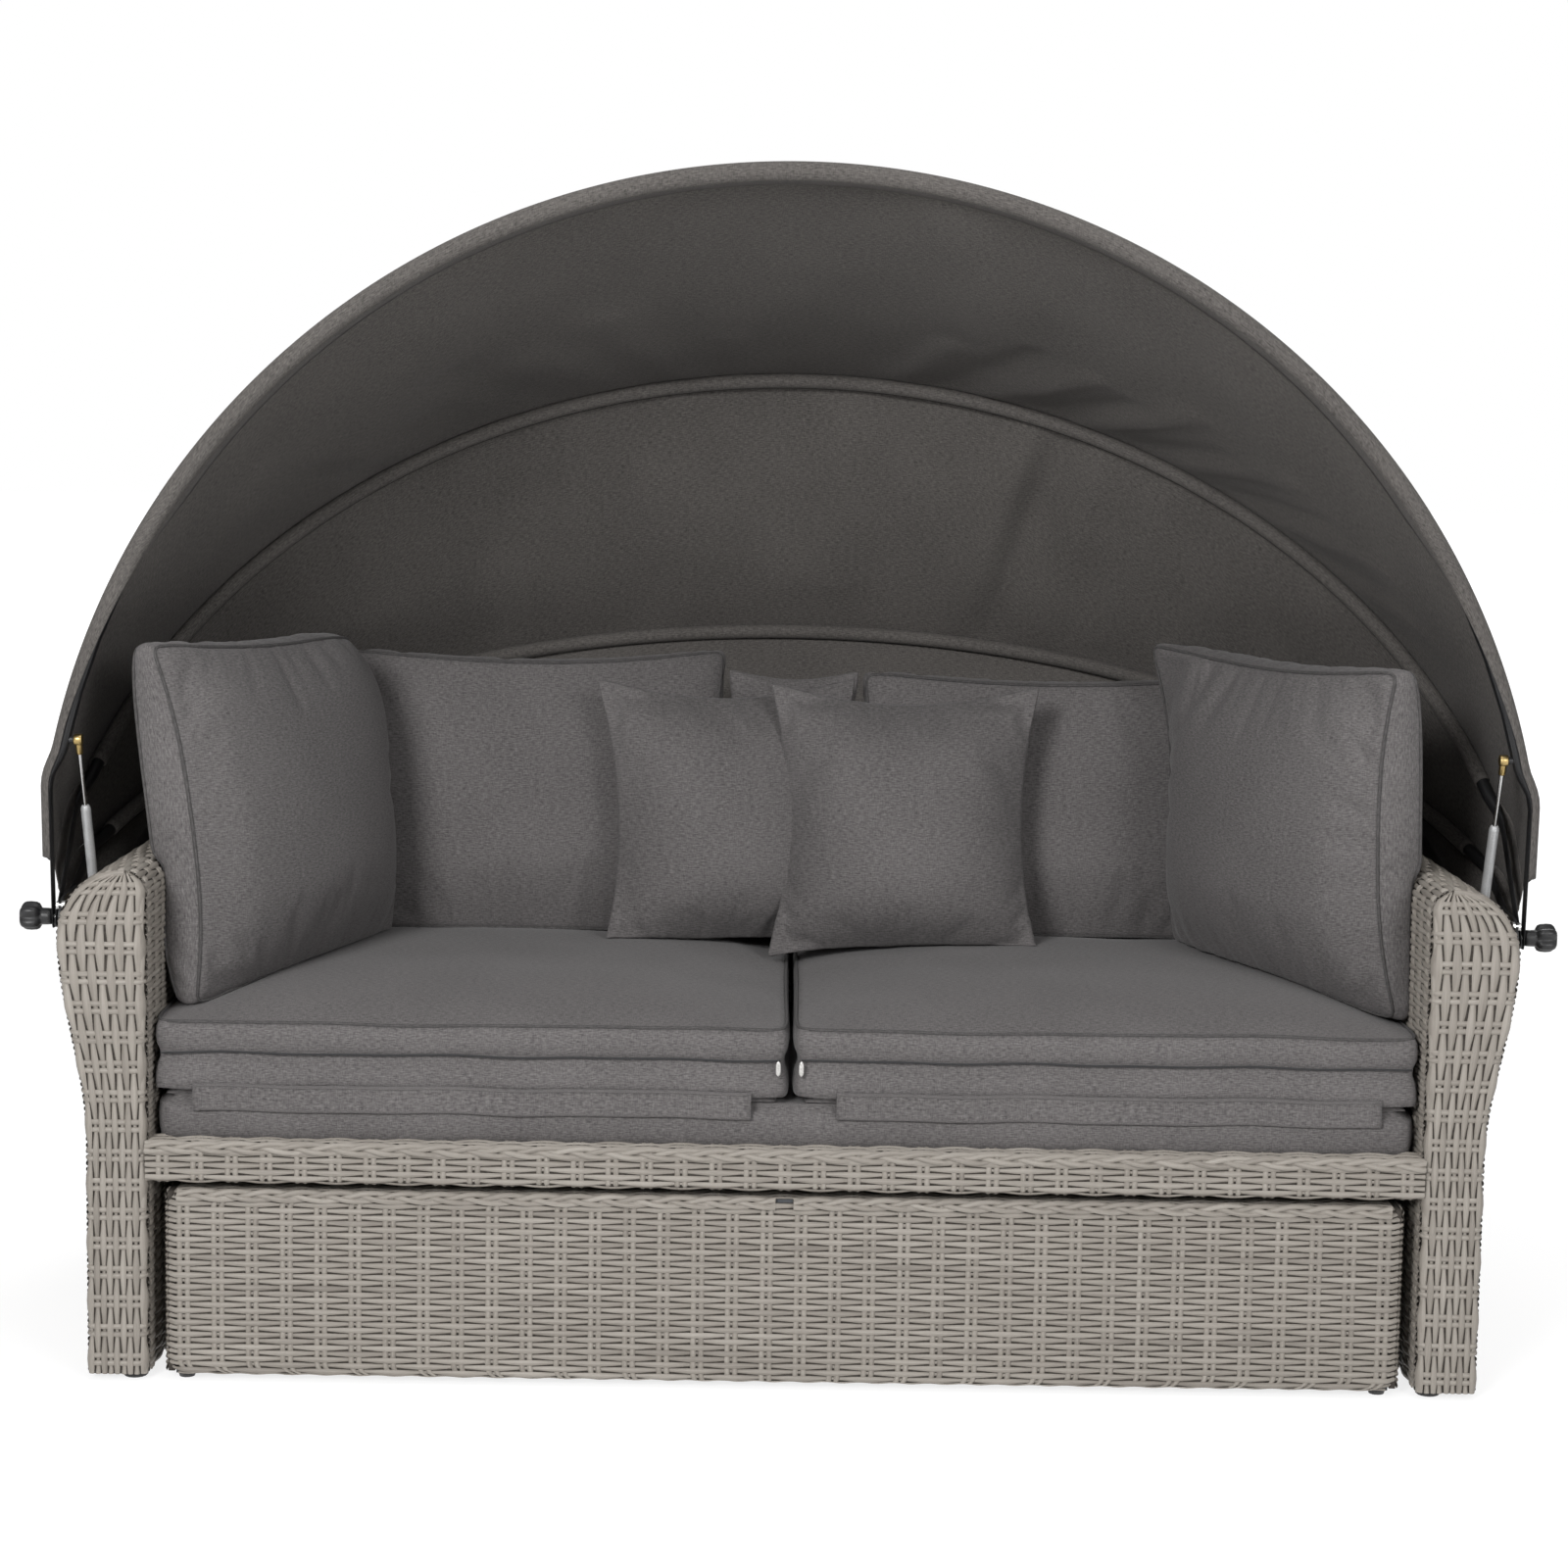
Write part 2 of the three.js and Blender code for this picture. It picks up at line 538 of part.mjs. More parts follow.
function hingeBolt() {
  return turnedAboutX([
    [BRACKET_X - TOUCH - 5, 0], [BRACKET_X - TOUCH - 5, BOLT_R + 3.5], [BRACKET_X - TOUCH, BOLT_R + 3.5],
    [BRACKET_X - TOUCH, BOLT_R], [BOLT_END_X, BOLT_R], [BOLT_END_X, 0],
  ], PIVOT_Y, PIVOT_Z);
}

// Spacer tube with its screw: it stands on the arm's outer face and holds the bracket off it.
function hingeSpacer([y, z]) {
  const start = ARM_WIDEST + TOUCH;
  return turnedAboutX([
    [start, 0], [start, SPACER_R], [BRACKET_X - TOUCH, SPACER_R], [BRACKET_X - TOUCH, SCREW_R],
    [BRACKET_OUTER_X + TOUCH, SCREW_R], [BRACKET_OUTER_X + TOUCH, SPACER_R - 1.5],
    [BRACKET_OUTER_X + 3.5, SPACER_R - 1.5], [BRACKET_OUTER_X + 3.5, 0],
  ], PIVOT_Y + y, PIVOT_Z + z, 12);
}

function starKnob() {
  const outline = new THREE.Shape();
  const steps = KNOB_LOBES * 8;
  for (let i = 0; i < steps; i++) {
    const angle = (2 * Math.PI * i) / steps;
    const radius = KNOB_R * (0.84 + 0.16 * Math.cos(KNOB_LOBES * angle));
    const [y, z] = [radius * Math.cos(angle), radius * Math.sin(angle)];
    if (i === 0) {
      outline.moveTo(y, z);
    } else {
      outline.lineTo(y, z);
    }
  }
  const neck = KNOB_LENGTH * 0.35;
  const star = alongX(outline, KNOB_X + neck, KNOB_X + KNOB_LENGTH - 5).translate(0, PIVOT_Y, PIVOT_Z);
  const hub = turnedAboutX([
    [KNOB_X, 0], [KNOB_X, KNOB_R * 0.55], [KNOB_X + neck + 1, KNOB_R * 0.7],
    [KNOB_X + KNOB_LENGTH - 6, KNOB_R * 0.7], [KNOB_X + KNOB_LENGTH, KNOB_R * 0.45], [KNOB_X + KNOB_LENGTH, 0],
  ], PIVOT_Y, PIVOT_Z);
  const bore = pinAlongX(KNOB_X - 1, BOLT_END_X + RUNNING, BOLT_R + RUNNING, PIVOT_Y, PIVOT_Z);
  return cut(join(star, hub), bore);
}

addPair("hinge_bracket", hingeBracket(), blackSteel);
addPair("hinge_bolt", hingeBolt(), zinc);
for (const [level, place] of Object.entries(SPACERS)) {
  addPair(`hinge_spacer_${level}`, hingeSpacer(place), zinc);
}
addPair("star_knob", starKnob(), blackPlastic);

// Hoops: round tube, flattened and drilled at both ends

// A point of a hoop's centre line, by its angle round the half circle: [x, distance from the pivot].
function hoopPoint(angle, hingeX) {
  const reach = HOOP_R * Math.sin(angle);
  const roundX = HOOP_R * Math.abs(Math.cos(angle));
  const x = mix(hingeX, roundX, smooth((reach - BLADE_R) / (TAPER_R - BLADE_R)));
  return [Math.sign(Math.cos(angle)) * x, reach];
}

function hoopPath(hingeX) {
  const taperStart = Math.asin(BLADE_R / HOOP_R);
  const taperEnd = Math.asin(TAPER_R / HOOP_R);
  const taperSteps = 4;
  const arcSteps = 17; // to the top
  const side = [
    { x: hingeX, reach: -EYE_END, flat: 1, narrow: 0.6 },
    { x: hingeX, reach: -EYE_END / 2, flat: 1, narrow: 0.95 },
    { x: hingeX, reach: 0, flat: 1, narrow: 1 },
  ];
  for (let i = 0; i < taperSteps; i++) {
    const [x, reach] = hoopPoint(mix(taperStart, taperEnd, i / taperSteps), hingeX);
    side.push({ x, reach, flat: 1 - smooth(i / taperSteps), narrow: 1 });
  }
  for (let i = 0; i < arcSteps; i++) {
    const [x, reach] = hoopPoint(mix(taperEnd, Math.PI / 2, i / arcSteps), hingeX);
    side.push({ x, reach, flat: 0, narrow: 1 });
  }
  const other = side.map((point) => ({ ...point, x: -point.x })).reverse();
  return [...side, { x: 0, reach: HOOP_R, flat: 0, narrow: 1 }, ...other];
}

// The tube in its own plane, upright: rings along the path, from a circle to a flat oval.
function hoopTube(hingeX) {
  const path = hoopPath(hingeX);
  const sides = 8;
  const rings = path.map((point, i) => {
    const before = path[Math.max(i - 1, 0)];
    const after = path[Math.min(i + 1, path.length - 1)];
    const tangent = new THREE.Vector2(after.x - before.x, after.reach - before.reach).normalize();
    const thick = mix(HOOP_TUBE_R, BLADE_THICK / 2, point.flat);
    const wide = mix(HOOP_TUBE_R, BLADE_WIDTH / 2, point.flat) * point.narrow;
    return Array.from({ length: sides + 1 }, (_, k) => {
      const angle = (2 * Math.PI * (k % sides)) / sides;
      const out = thick * Math.cos(angle);
      return new THREE.Vector3(point.x + tangent.y * out, wide * Math.sin(angle), point.reach - tangent.x * out);
    });
  });
  const cap = (ring) => {
    const centre = ring.slice(0, sides).reduce((sum, p) => sum.add(p), new THREE.Vector3()).divideScalar(sides);
    return ring.map(() => centre);
  };
  return closedMesh([[cap(rings[0]), ...rings, cap(rings.at(-1))]]);
}

function hoop(hingeX) {
  const reach = 30;
  const hole = (side) => pinAlongX(side * hingeX - reach, side * hingeX + reach, BOLT_R + RUNNING, 0, 0);
  return cut(hoopTube(hingeX), hole(1), hole(-1));
}

function placeHoop(mesh, tilt) {
  mesh.position.set(0, PIVOT_Y, PIVOT_Z);
  mesh.rotation.x = -radians(tilt);
}

const STUD_HOOP_X = Math.sqrt(HOOP_R ** 2 - STUD_RADIUS_ON_HOOP ** 2);

function frontHoop() {
  const stud = pinAlongX(SPRING_OUTER_X + RUNNING, STUD_HOOP_X, BOLT_R + 1, 0, STUD_RADIUS_ON_HOOP, 12);
  return join(hoop(FRONT_BLADE_X), stud, mirrored(stud));
}

placeHoop(add("rear_hoop", hoop(REAR_BLADE_X), blackSteel), REAR_TILT);
placeHoop(add("middle_hoop", hoop(MIDDLE_BLADE_X), blackSteel), MIDDLE_TILT);
placeHoop(add("front_hoop", frontHoop(), blackSteel), FRONT_TILT);

// Gas springs: a bored tube on the bracket's stud, and a rod whose upper eye stands at the hoop's stud

const upperStud = new THREE.Vector2(
  STUD_RADIUS_ON_HOOP * Math.sin(radians(FRONT_TILT)), STUD_RADIUS_ON_HOOP * Math.cos(radians(FRONT_TILT)));
const lowerStud = new THREE.Vector2(LOWER_STUD_Y, LOWER_STUD_Z);
const SPRING_LENGTH = upperStud.distanceTo(lowerStud); // between eyes, canopy open
const SPRING_TILT = Math.atan2(upperStud.x - lowerStud.x, upperStud.y - lowerStud.y);

// An eye across X, bored for a stud.
function eye(z, boreRadius) {
  const half = SPRING_EYE_WIDTH / 2;
  return cut(pinAlongX(-half, half, SPRING_EYE_R, 0, z), pinAlongX(-half - 1, half + 1, boreRadius, 0, z, 16));
}

function springTube() {
  const start = SPRING_TUBE_START;
  const end = start + SPRING_TUBE_LENGTH;
  const body = lathed([
    [0, start], [SPRING_TUBE_R, start], [SPRING_TUBE_R, end], [ROD_R + TOUCH, end],
    [ROD_R + TOUCH, end - 8], [SPRING_BORE_R, end - 8], [SPRING_BORE_R, start + 10], [0, start + 10],
  ]);
  const neck = lathed([[0, SPRING_EYE_R - 2], [BOLT_R, SPRING_EYE_R - 2], [BOLT_R, start + 1], [0, start + 1]], 12);
  return join(body, neck, eye(0, BOLT_R + RUNNING));
}

function springRod() {
  const travelEnd = SPRING_TUBE_START + SPRING_TUBE_LENGTH - 14;
  const rod = lathed([
    [0, travelEnd - 8], [SPRING_BORE_R - TOUCH, travelEnd - 8], [SPRING_BORE_R - TOUCH, travelEnd],
    [ROD_R, travelEnd], [ROD_R, SPRING_LENGTH - COLLAR_LENGTH], [ROD_R + 2, SPRING_LENGTH - COLLAR_LENGTH],
    [ROD_R + 2, SPRING_LENGTH - SPRING_EYE_R + 2], [0, SPRING_LENGTH - SPRING_EYE_R + 2],
  ]);
  return join(rod, eye(SPRING_LENGTH, BOLT_R + RUNNING));
}

function placedSpring(geometry) {
  return bare(geometry).rotateX(-SPRING_TILT)
    .translate(SPRING_X, PIVOT_Y + LOWER_STUD_Y, PIVOT_Z + LOWER_STUD_Z);
}

addPair("gas_spring_tube", placedSpring(springTube()), springSilver);
addPair("gas_spring_rod", placedSpring(springRod()), zinc);

// Canopy cloth: thin sheets between the hoops, with a sleeve round the front one

// A point of the cloth on a hoop: out from the hoop's centre line, and back from the hoop's plane.
function clothPoint(tilt, angle, out, back) {
  const [x, reach] = hoopPoint(angle, FRONT_BLADE_X - TOUCH);
  const far = reach + out * Math.sin(angle);
  const [sin, cos] = [Math.sin(radians(tilt)), Math.cos(radians(tilt))];
  return new THREE.Vector3(
    x + out * Math.cos(angle), PIVOT_Y + far * sin + back * cos, PIVOT_Z + far * cos - back * sin);
}

const SIDE_COLUMNS = 16; // from the hem at the hinge up to the middle of a hoop
const CLOTH_COLUMNS = 2 * SIDE_COLUMNS;
const clothStart = Math.asin(CLOTH_START_R / HOOP_R);
const clothAngle = (column) => mix(clothStart, Math.PI - clothStart, column / CLOTH_COLUMNS);

function clothRow(pointAt) {
  return Array.from({ length: CLOTH_COLUMNS + 1 }, (_, column) => pointAt(clothAngle(column), column));
}

// A row of cloth on a hoop, some degrees round the tube from its outermost line, towards the back.
function wrapRow(tilt, degrees) {
  const [out, back] = [CLOTH_OFFSET * Math.cos(radians(degrees)), CLOTH_OFFSET * Math.sin(radians(degrees))];
  return clothRow((angle) => clothPoint(tilt, angle, out, back));
}

// Rows of cloth between two others, drawn in towards the hinge line.
function stretched(first, last, rows, depthAt) {
  return Array.from({ length: rows - 1 }, (_, r) => {
    const share = (r + 1) / rows;
    return first.map((point, column) => {
      const middle = point.clone().lerp(last[column], share);
      const inward = new THREE.Vector3(0, PIVOT_Y - middle.y, PIVOT_Z - middle.z).normalize();
      const depth = depthAt(share, column / CLOTH_COLUMNS) * Math.sin(clothAngle(column));
      return middle.addScaledVector(inward, depth);
    });
  });
}

const towards = (from, to, distance) => from.clone().addScaledVector(to.clone().sub(from).normalize(), distance);

// The same grid seen from behind: turned over with its quads still split along the same diagonal.
const transposed = (grid) => grid[0].map((_, c) => grid.map((row) => row[c]));

// A sheet of cloth as a closed solid: its middle surface moved half a thickness each way. Only the columns
// from first to last are kept, and an edge that another sheet is sewn to stays half a gap short of it.
function clothSolid(rows, first = 0, last = rows[0].length - 1) {
  const normalAt = (r, c) => {
    const along = rows[r][Math.min(c + 1, rows[r].length - 1)].clone().sub(rows[r][Math.max(c - 1, 0)]);
    const across = rows[Math.min(r + 1, rows.length - 1)][c].clone().sub(rows[Math.max(r - 1, 0)][c]);
    return along.cross(across).normalize();
  };
  const sewn = (row) => {
    const kept = row.slice(first, last + 1);
    const start = first > 0 ? towards(kept[0], kept[1], SEAM_GAP / 2) : kept[0];
    const end = last < row.length - 1 ? towards(kept.at(-1), kept.at(-2), SEAM_GAP / 2) : kept.at(-1);
    return [start, ...kept.slice(1, -1), end];
  };
  const layer = (side) => rows.map((row, r) => sewn(
    row.map((point, c) => point.clone().addScaledVector(normalAt(r, c), side * CLOTH / 2))));
  const [top, bottom] = [layer(1), layer(-1)];
  const rim = (grid) => [
    ...grid[0].slice(0, -1),
    ...grid.slice(0, -1).map((row) => row.at(-1)),
    ...grid.at(-1).slice(1).reverse(),
    ...grid.slice(1).map((row) => row[0]).reverse(),
    grid[0][0],
  ];
  return closedMesh([top, transposed(bottom), [rim(bottom), rim(top)]]);
}

const sagging = (share, depth) => 4 * share * (1 - share) * depth;

// The sleeve wraps the front hoop and laps inside it; beside the spring's stud it stays open.
function sleeveRows() {
  const closingLength = 330;
  const opening = (angle) => {
    const past = HOOP_R * Math.sin(angle) - STUD_RADIUS_ON_HOOP - SLEEVE_LAP;
    return mix(0.5, 1, THREE.MathUtils.clamp(past / closingLength, 0, 1));
  };
  const wrapped = (degrees, lap) => clothRow((angle) => {
    const turn = radians(degrees) * opening(angle);
    const back = lap * smooth(5 * opening(angle) - 4);
    return clothPoint(FRONT_TILT, angle, CLOTH_OFFSET * Math.cos(turn) - lap * 0.12,
      CLOTH_OFFSET * Math.sin(turn) + back);
  });
  return [wrapped(-178, SLEEVE_LAP), ...[-176, -135, -95, -55, -15].map((degrees) => wrapped(degrees, 0))];
}

function frontPanel() {
  const ripple = (share, along) => 5 * Math.sin(Math.PI * share) * Math.sin(9 * Math.PI * along);
  const first = wrapRow(FRONT_TILT, 25);
  const last = wrapRow(MIDDLE_TILT, -28);
  const between = stretched(first, last, 6, (share, along) => sagging(share, CLOTH_SAG) + ripple(share, along));
  return clothSolid([...sleeveRows(), first, ...between, last, wrapRow(MIDDLE_TILT, -SEAM_ANGLE)]);
}

function middlePanel() {
  const ripple = (share, along) => 4 * Math.sin(Math.PI * share) * Math.sin(7 * Math.PI * along);
  const first = wrapRow(MIDDLE_TILT, 18);
  const last = wrapRow(REAR_TILT, -18);
  const between = stretched(first, last, 5,
    (share, along) => sagging(share, CLOTH_SAG / 2) + ripple(share, along));
  return clothSolid([wrapRow(MIDDLE_TILT, SEAM_ANGLE), first, ...between, last, wrapRow(REAR_TILT, -SEAM_ANGLE)]);
}

const HEM_SIDE_STEPS = 7;

// The hem's outline in plan, along both sides of the sofa and round its back, just outside it.
function hemRow() {
  const sideX = ARM_WIDEST + HEM_GAP;
  const rearY = SOFA_DEPTH + HEM_GAP;
  const hingeX = FRONT_BLADE_X - TOUCH + CLOTH_OFFSET;
  const startY = PIVOT_Y + CLOTH_START_R;
  const corner = 16;
  const rearSteps = SIDE_COLUMNS - HEM_SIDE_STEPS - 1;
  const half = [];
  for (let i = 0; i <= HEM_SIDE_STEPS; i++) {
    const y = mix(startY, rearY - corner, i / HEM_SIDE_STEPS);
    half.push([mix(hingeX, sideX, smooth((y - startY) / 160)), y]);
  }
  for (let i = 0; i <= rearSteps; i++) {
    half.push([(sideX - corner) * (1 - i / rearSteps), rearY]);
  }
  const other = half.slice(0, -1).map(([x, y]) => [-x, y]).reverse();
  return [...half, ...other].map(([x, y]) => new THREE.Vector3(x, y, PIVOT_Z - HEM_DROP));
}

// From the rear hoop out over the arms and the back, then straight down to the hem, with slack folds.
function backRows() {
  const edge = wrapRow(REAR_TILT, SEAM_ANGLE);
  const first = wrapRow(REAR_TILT, 55);
  const hem = hemRow();
  const shoulder = hem.map((point, column) =>
    new THREE.Vector3(point.x, point.y, Math.min(ARM_TOP_Z + 12, mix(first[column].z, point.z, 0.4))));
  const folds = (share) => -BACK_FOLD * Math.sin(4 * Math.PI * share);
  return [edge, first, ...stretched(first, shoulder, 6, folds), shoulder, ...stretched(shoulder, hem, 2, () => 0), hem];
}

add("canopy_front_panel", frontPanel(), canopyCloth);
add("canopy_middle_panel", middlePanel(), canopyCloth);
// The back panel is sewn to a side panel at each rear corner
const backCloth = backRows();
const corner = HEM_SIDE_STEPS + 1;
add("canopy_side_panel_right", clothSolid(backCloth, 0, corner), canopyCloth);
add("canopy_back_panel", clothSolid(backCloth, corner, backCloth[0].length - 1 - corner), canopyCloth);
add("canopy_side_panel_left", clothSolid(backCloth, backCloth[0].length - 1 - corner), canopyCloth);

// Cushions

// A boxed cushion: crowned faces, sides drawn in between the corners, a wall of rings between its two seams.
// Length lies along X, width along Y and thickness along Z, about its own middle.
function boxCushion({ length, width, boxing, crownTop, crownBottom, fullness, pull, wall, columns, rows }) {
  const outline = (u, v) => new THREE.Vector2(
    u * (length / 2 - pull * (1 - v * v) * Math.abs(u)), v * (width / 2 - pull * (1 - u * u) * Math.abs(v)));
  const dome = (u, v) => (1 - Math.abs(u) ** fullness) * (1 - Math.abs(v) ** fullness);
  const share = (i, count) => (2 * i) / count - 1;
  const face = (height, crown) => Array.from({ length: rows + 1 }, (_, r) =>
    Array.from({ length: columns + 1 }, (__, c) => {
      const [u, v] = [share(c, columns), share(r, rows)];
      const at = outline(u, v);
      return new THREE.Vector3(at.x, at.y, height + crown * dome(u, v));
    }));
  const rim = [];
  for (let c = 0; c < columns; c++) rim.push([share(c, columns), -1]);
  for (let r = 0; r < rows; r++) rim.push([1, share(r, rows)]);
  for (let c = columns; c > 0; c--) rim.push([share(c, columns), 1]);
  for (let r = rows; r > 0; r--) rim.push([-1, share(r, rows)]);
  rim.push([-1, -1]);
  const ring = (level, out) => rim.map(([u, v]) => {
    const at = outline(u, v);
    const side = new THREE.Vector2(Math.abs(u) === 1 ? u : 0, Math.abs(v) === 1 ? v : 0).normalize();
    return new THREE.Vector3(at.x + side.x * out, at.y + side.y * out, (level - 0.5) * boxing);
  });
  const walls = [[0, 0], ...wall, [1, 0]].map(([level, out]) => ring(level, out));
  const under = face(-boxing / 2, -crownBottom).map((row) => [...row].reverse());
  return closedMesh([face(boxing / 2, crownTop), under, walls]);
}

// A knife-edge pillow: two domed faces that meet in one seam, with pointed corners.
function throwPillow(width, height, thick) {
  const steps = 12;
  const share = (i) => Math.sin((Math.PI / 2) * ((2 * i) / steps - 1));
  const face = (side) => Array.from({ length: steps + 1 }, (_, r) =>
    Array.from({ length: steps + 1 }, (__, c) => {
      const [u, v] = [share(c), share(r)];
      const drawn = 0.07;
      const x = (width / 2) * u * (1 - drawn * (1 - v * v));
      const y = (height / 2) * v * (1 - drawn * (1 - u * u));
      const swell = Math.sqrt(Math.max(0, (1 - u * u) * (1 - v * v)));
      return new THREE.Vector3(x, y, side * (thick / 2) * swell);
    }));
  return closedMesh([face(1), face(-1).map((row) => [...row].reverse())]);
}

const CUSHION_HALF = HALF_INNER - CUSHION_GAP;
const CUSHION_REAR = BACK_FRONT_Y - CUSHION_GAP;
const BASE_Z = RAIL_TOP_Z + TOUCH;
const TOPPER_Z = BASE_Z + BASE_HEIGHT + TOUCH;
const SEAT_Z = TOPPER_Z + TOP_BOXING; // upper seam of the top cushions

function seatCushion(x0, x1, z0, boxing, crown, wall, columns, rows) {
  const geometry = boxCushion({
    length: x1 - x0, width: CUSHION_REAR - CUSHION_FRONT, boxing, crownTop: crown, crownBottom: 0,
    fullness: TOP_FULLNESS, pull: 3, wall, columns, rows,
  });
  return geometry.translate((x0 + x1) / 2, (CUSHION_FRONT + CUSHION_REAR) / 2, z0 + boxing / 2);
}

const topWall = [[0.06, 4], [0.25, 2], [0.45, -1], [0.55, -1], [0.78, 3], [0.94, 5]];
const topCushions = [[-CUSHION_HALF, TOP_SPLIT - CUSHION_GAP], [TOP_SPLIT + CUSHION_GAP, CUSHION_HALF]]
  .map(([x0, x1]) => seatCushion(x0, x1, TOPPER_Z, TOP_BOXING, TOP_CROWN, topWall, 10, 8));
add("base_cushion", seatCushion(-CUSHION_HALF, CUSHION_HALF, BASE_Z, BASE_HEIGHT, 0,
  [[0.1, 3], [0.5, 4], [0.9, 3]], 12, 4), cushionCloth);
add("top_cushion_left", topCushions[0], cushionCloth);
add("top_cushion_right", topCushions[1], cushionCloth);

// A loose cushion flattened where it stands on the top cushions.
function pressed(geometry) {
  return cut(geometry, ...topCushions.map((top) => bare(top).translate(0, 0, TOUCH)));
}

const BIG_LENGTH = CUSHION_HALF - SIDE_ROOM - MIDDLE_ROOM / 2;
const BACK_OUT = (MIDDLE_ROOM + BIG_LENGTH) / 2;

// Stands a cushion up: its foot on the seat at x, turned by yaw, leaning back by lean.
function stood(geometry, { x, fromRear, yaw, lean, height }) {
  const [turn, tip] = [radians(yaw), radians(lean)];
  const length = new THREE.Vector3(Math.cos(turn), Math.sin(turn), 0);
  const up = new THREE.Vector3(-Math.sin(turn) * Math.sin(tip), Math.cos(turn) * Math.sin(tip), Math.cos(tip));
  const placed = new THREE.Matrix4().makeBasis(length, up, length.clone().cross(up));
  const foot = new THREE.Vector3(x, CUSHION_REAR - fromRear, SEAT_Z + STANDING_LIFT);
  return geometry.applyMatrix4(placed.setPosition(foot.addScaledVector(up, height / 2)));
}

function bigCushion(place) {
  return stood(boxCushion({
    length: BIG_LENGTH, width: place.height, boxing: BIG_BOXING, crownTop: BIG_CROWN, crownBottom: BIG_CROWN,
    fullness: LOOSE_FULLNESS, pull: BIG_PULL, wall: [[0.12, 3], [0.88, 3]], columns: 8, rows: 8,
  }), place);
}

// A side cushion's length runs along the arm: drawn for the right, facing the seat.
function sideCushion({ yaw, ...place }) {
  return bigCushion({ ...place, x: CUSHION_HALF - place.fromArm, yaw: 90 + yaw, lean: -place.lean });
}

function loosePillow(place, width = THROW_SIZE) {
  return stood(throwPillow(width, THROW_SIZE, place.thick), { ...place, height: THROW_SIZE });
}

const SQUEEZED_WIDTH = MIDDLE_ROOM - 4.2; // the gap between the back cushions

add("side_cushion_left", pressed(mirrored(sideCushion(SIDE_LEFT))), cushionCloth);
add("side_cushion_right", pressed(sideCushion(SIDE_RIGHT)), cushionCloth);
add("back_cushion_left", pressed(bigCushion({ ...BACK_LEFT, x: ROW_SHIFT - BACK_OUT })), cushionCloth);
add("back_cushion_right", pressed(bigCushion({ ...BACK_RIGHT, x: ROW_SHIFT + BACK_OUT })), cushionCloth);
add("throw_pillow_left", pressed(loosePillow(THROW_LEFT)), cushionCloth);
add("throw_pillow_middle", pressed(loosePillow(THROW_MIDDLE)), cushionCloth);
add("throw_pillow_squeezed", pressed(loosePillow(THROW_SQUEEZED, SQUEEZED_WIDTH)), cushionCloth);

// The origin: on the floor, in the middle of the whole outline
const outline = new THREE.Box3().setFromObject(daybed);
daybed.position.y = -(outline.min.y + outline.max.y) / 2;
daybed.updateMatrixWorld(true);

export default daybed;
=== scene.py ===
import math

import bpy
import numpy as np
from mathutils import Matrix, Vector


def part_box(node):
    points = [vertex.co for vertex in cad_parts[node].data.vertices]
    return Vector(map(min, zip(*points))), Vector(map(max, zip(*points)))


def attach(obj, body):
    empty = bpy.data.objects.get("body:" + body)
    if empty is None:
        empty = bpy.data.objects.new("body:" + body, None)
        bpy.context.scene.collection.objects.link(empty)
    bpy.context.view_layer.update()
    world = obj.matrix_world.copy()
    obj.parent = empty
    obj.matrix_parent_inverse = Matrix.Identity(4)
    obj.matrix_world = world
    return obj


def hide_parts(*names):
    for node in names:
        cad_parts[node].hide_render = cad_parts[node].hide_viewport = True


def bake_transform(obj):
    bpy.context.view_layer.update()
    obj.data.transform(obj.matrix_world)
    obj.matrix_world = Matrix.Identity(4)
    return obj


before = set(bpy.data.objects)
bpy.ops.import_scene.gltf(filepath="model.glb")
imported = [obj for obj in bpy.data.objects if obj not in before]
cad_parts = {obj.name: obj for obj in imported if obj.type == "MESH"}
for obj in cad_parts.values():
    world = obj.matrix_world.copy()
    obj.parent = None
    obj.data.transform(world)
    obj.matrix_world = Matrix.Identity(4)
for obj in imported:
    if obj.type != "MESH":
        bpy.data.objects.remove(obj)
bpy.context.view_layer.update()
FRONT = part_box("front_rail_weave")[0].y  # front of the legs

# Viewpoint.
# A photographer's camera on a tripod, 4.1 m in front of the legs and at chest height,
# looking slightly down, with the small tilt to one side that the picture has.
camera = bpy.data.objects.new("camera", bpy.data.cameras.new("camera"))
bpy.context.scene.collection.objects.link(camera)
camera.data.lens = 71.7
camera.data.sensor_width = 36
camera.data.clip_end = 100
LENS_HEIGHT = 1.2728
LOOKING_DOWN = 6.27  # degrees
ASKEW = 0.85  # degrees
camera.matrix_world = (Matrix.Translation((-0.009, FRONT - 4.1, LENS_HEIGHT))
                       @ Matrix.Rotation(math.radians(90 - LOOKING_DOWN), 4, "X")
                       @ Matrix.Rotation(math.radians(ASKEW), 4, "Z"))
bpy.context.scene.camera = camera


# Floor, backdrop and lamps.
# A white studio floor that runs out of sight on all sides, and is plain white to the camera away from the
# daybed. Three large soft lamps stand in front and above and one behind, and a white room fills the shadows.
class Socket:
    """A node's output, usable in sums. Each sign adds one Math node."""

    def __init__(self, nodes, socket):
        self.nodes = nodes
        self.socket = socket

    def math(self, operation, first, second):
        """The result of a Math node on two values or sockets."""
        return self.nodes.node("Math", {"operation": operation}, {0: first, 1: second})

    def __add__(self, other):
        return self.math("ADD", self, other)

    def __radd__(self, other):
        return self.math("ADD", other, self)

    def __sub__(self, other):
        return self.math("SUBTRACT", self, other)

    def __rsub__(self, other):
        return self.math("SUBTRACT", other, self)

    def __mul__(self, other):
        return self.math("MULTIPLY", self, other)

    def __rmul__(self, other):
        return self.math("MULTIPLY", other, self)


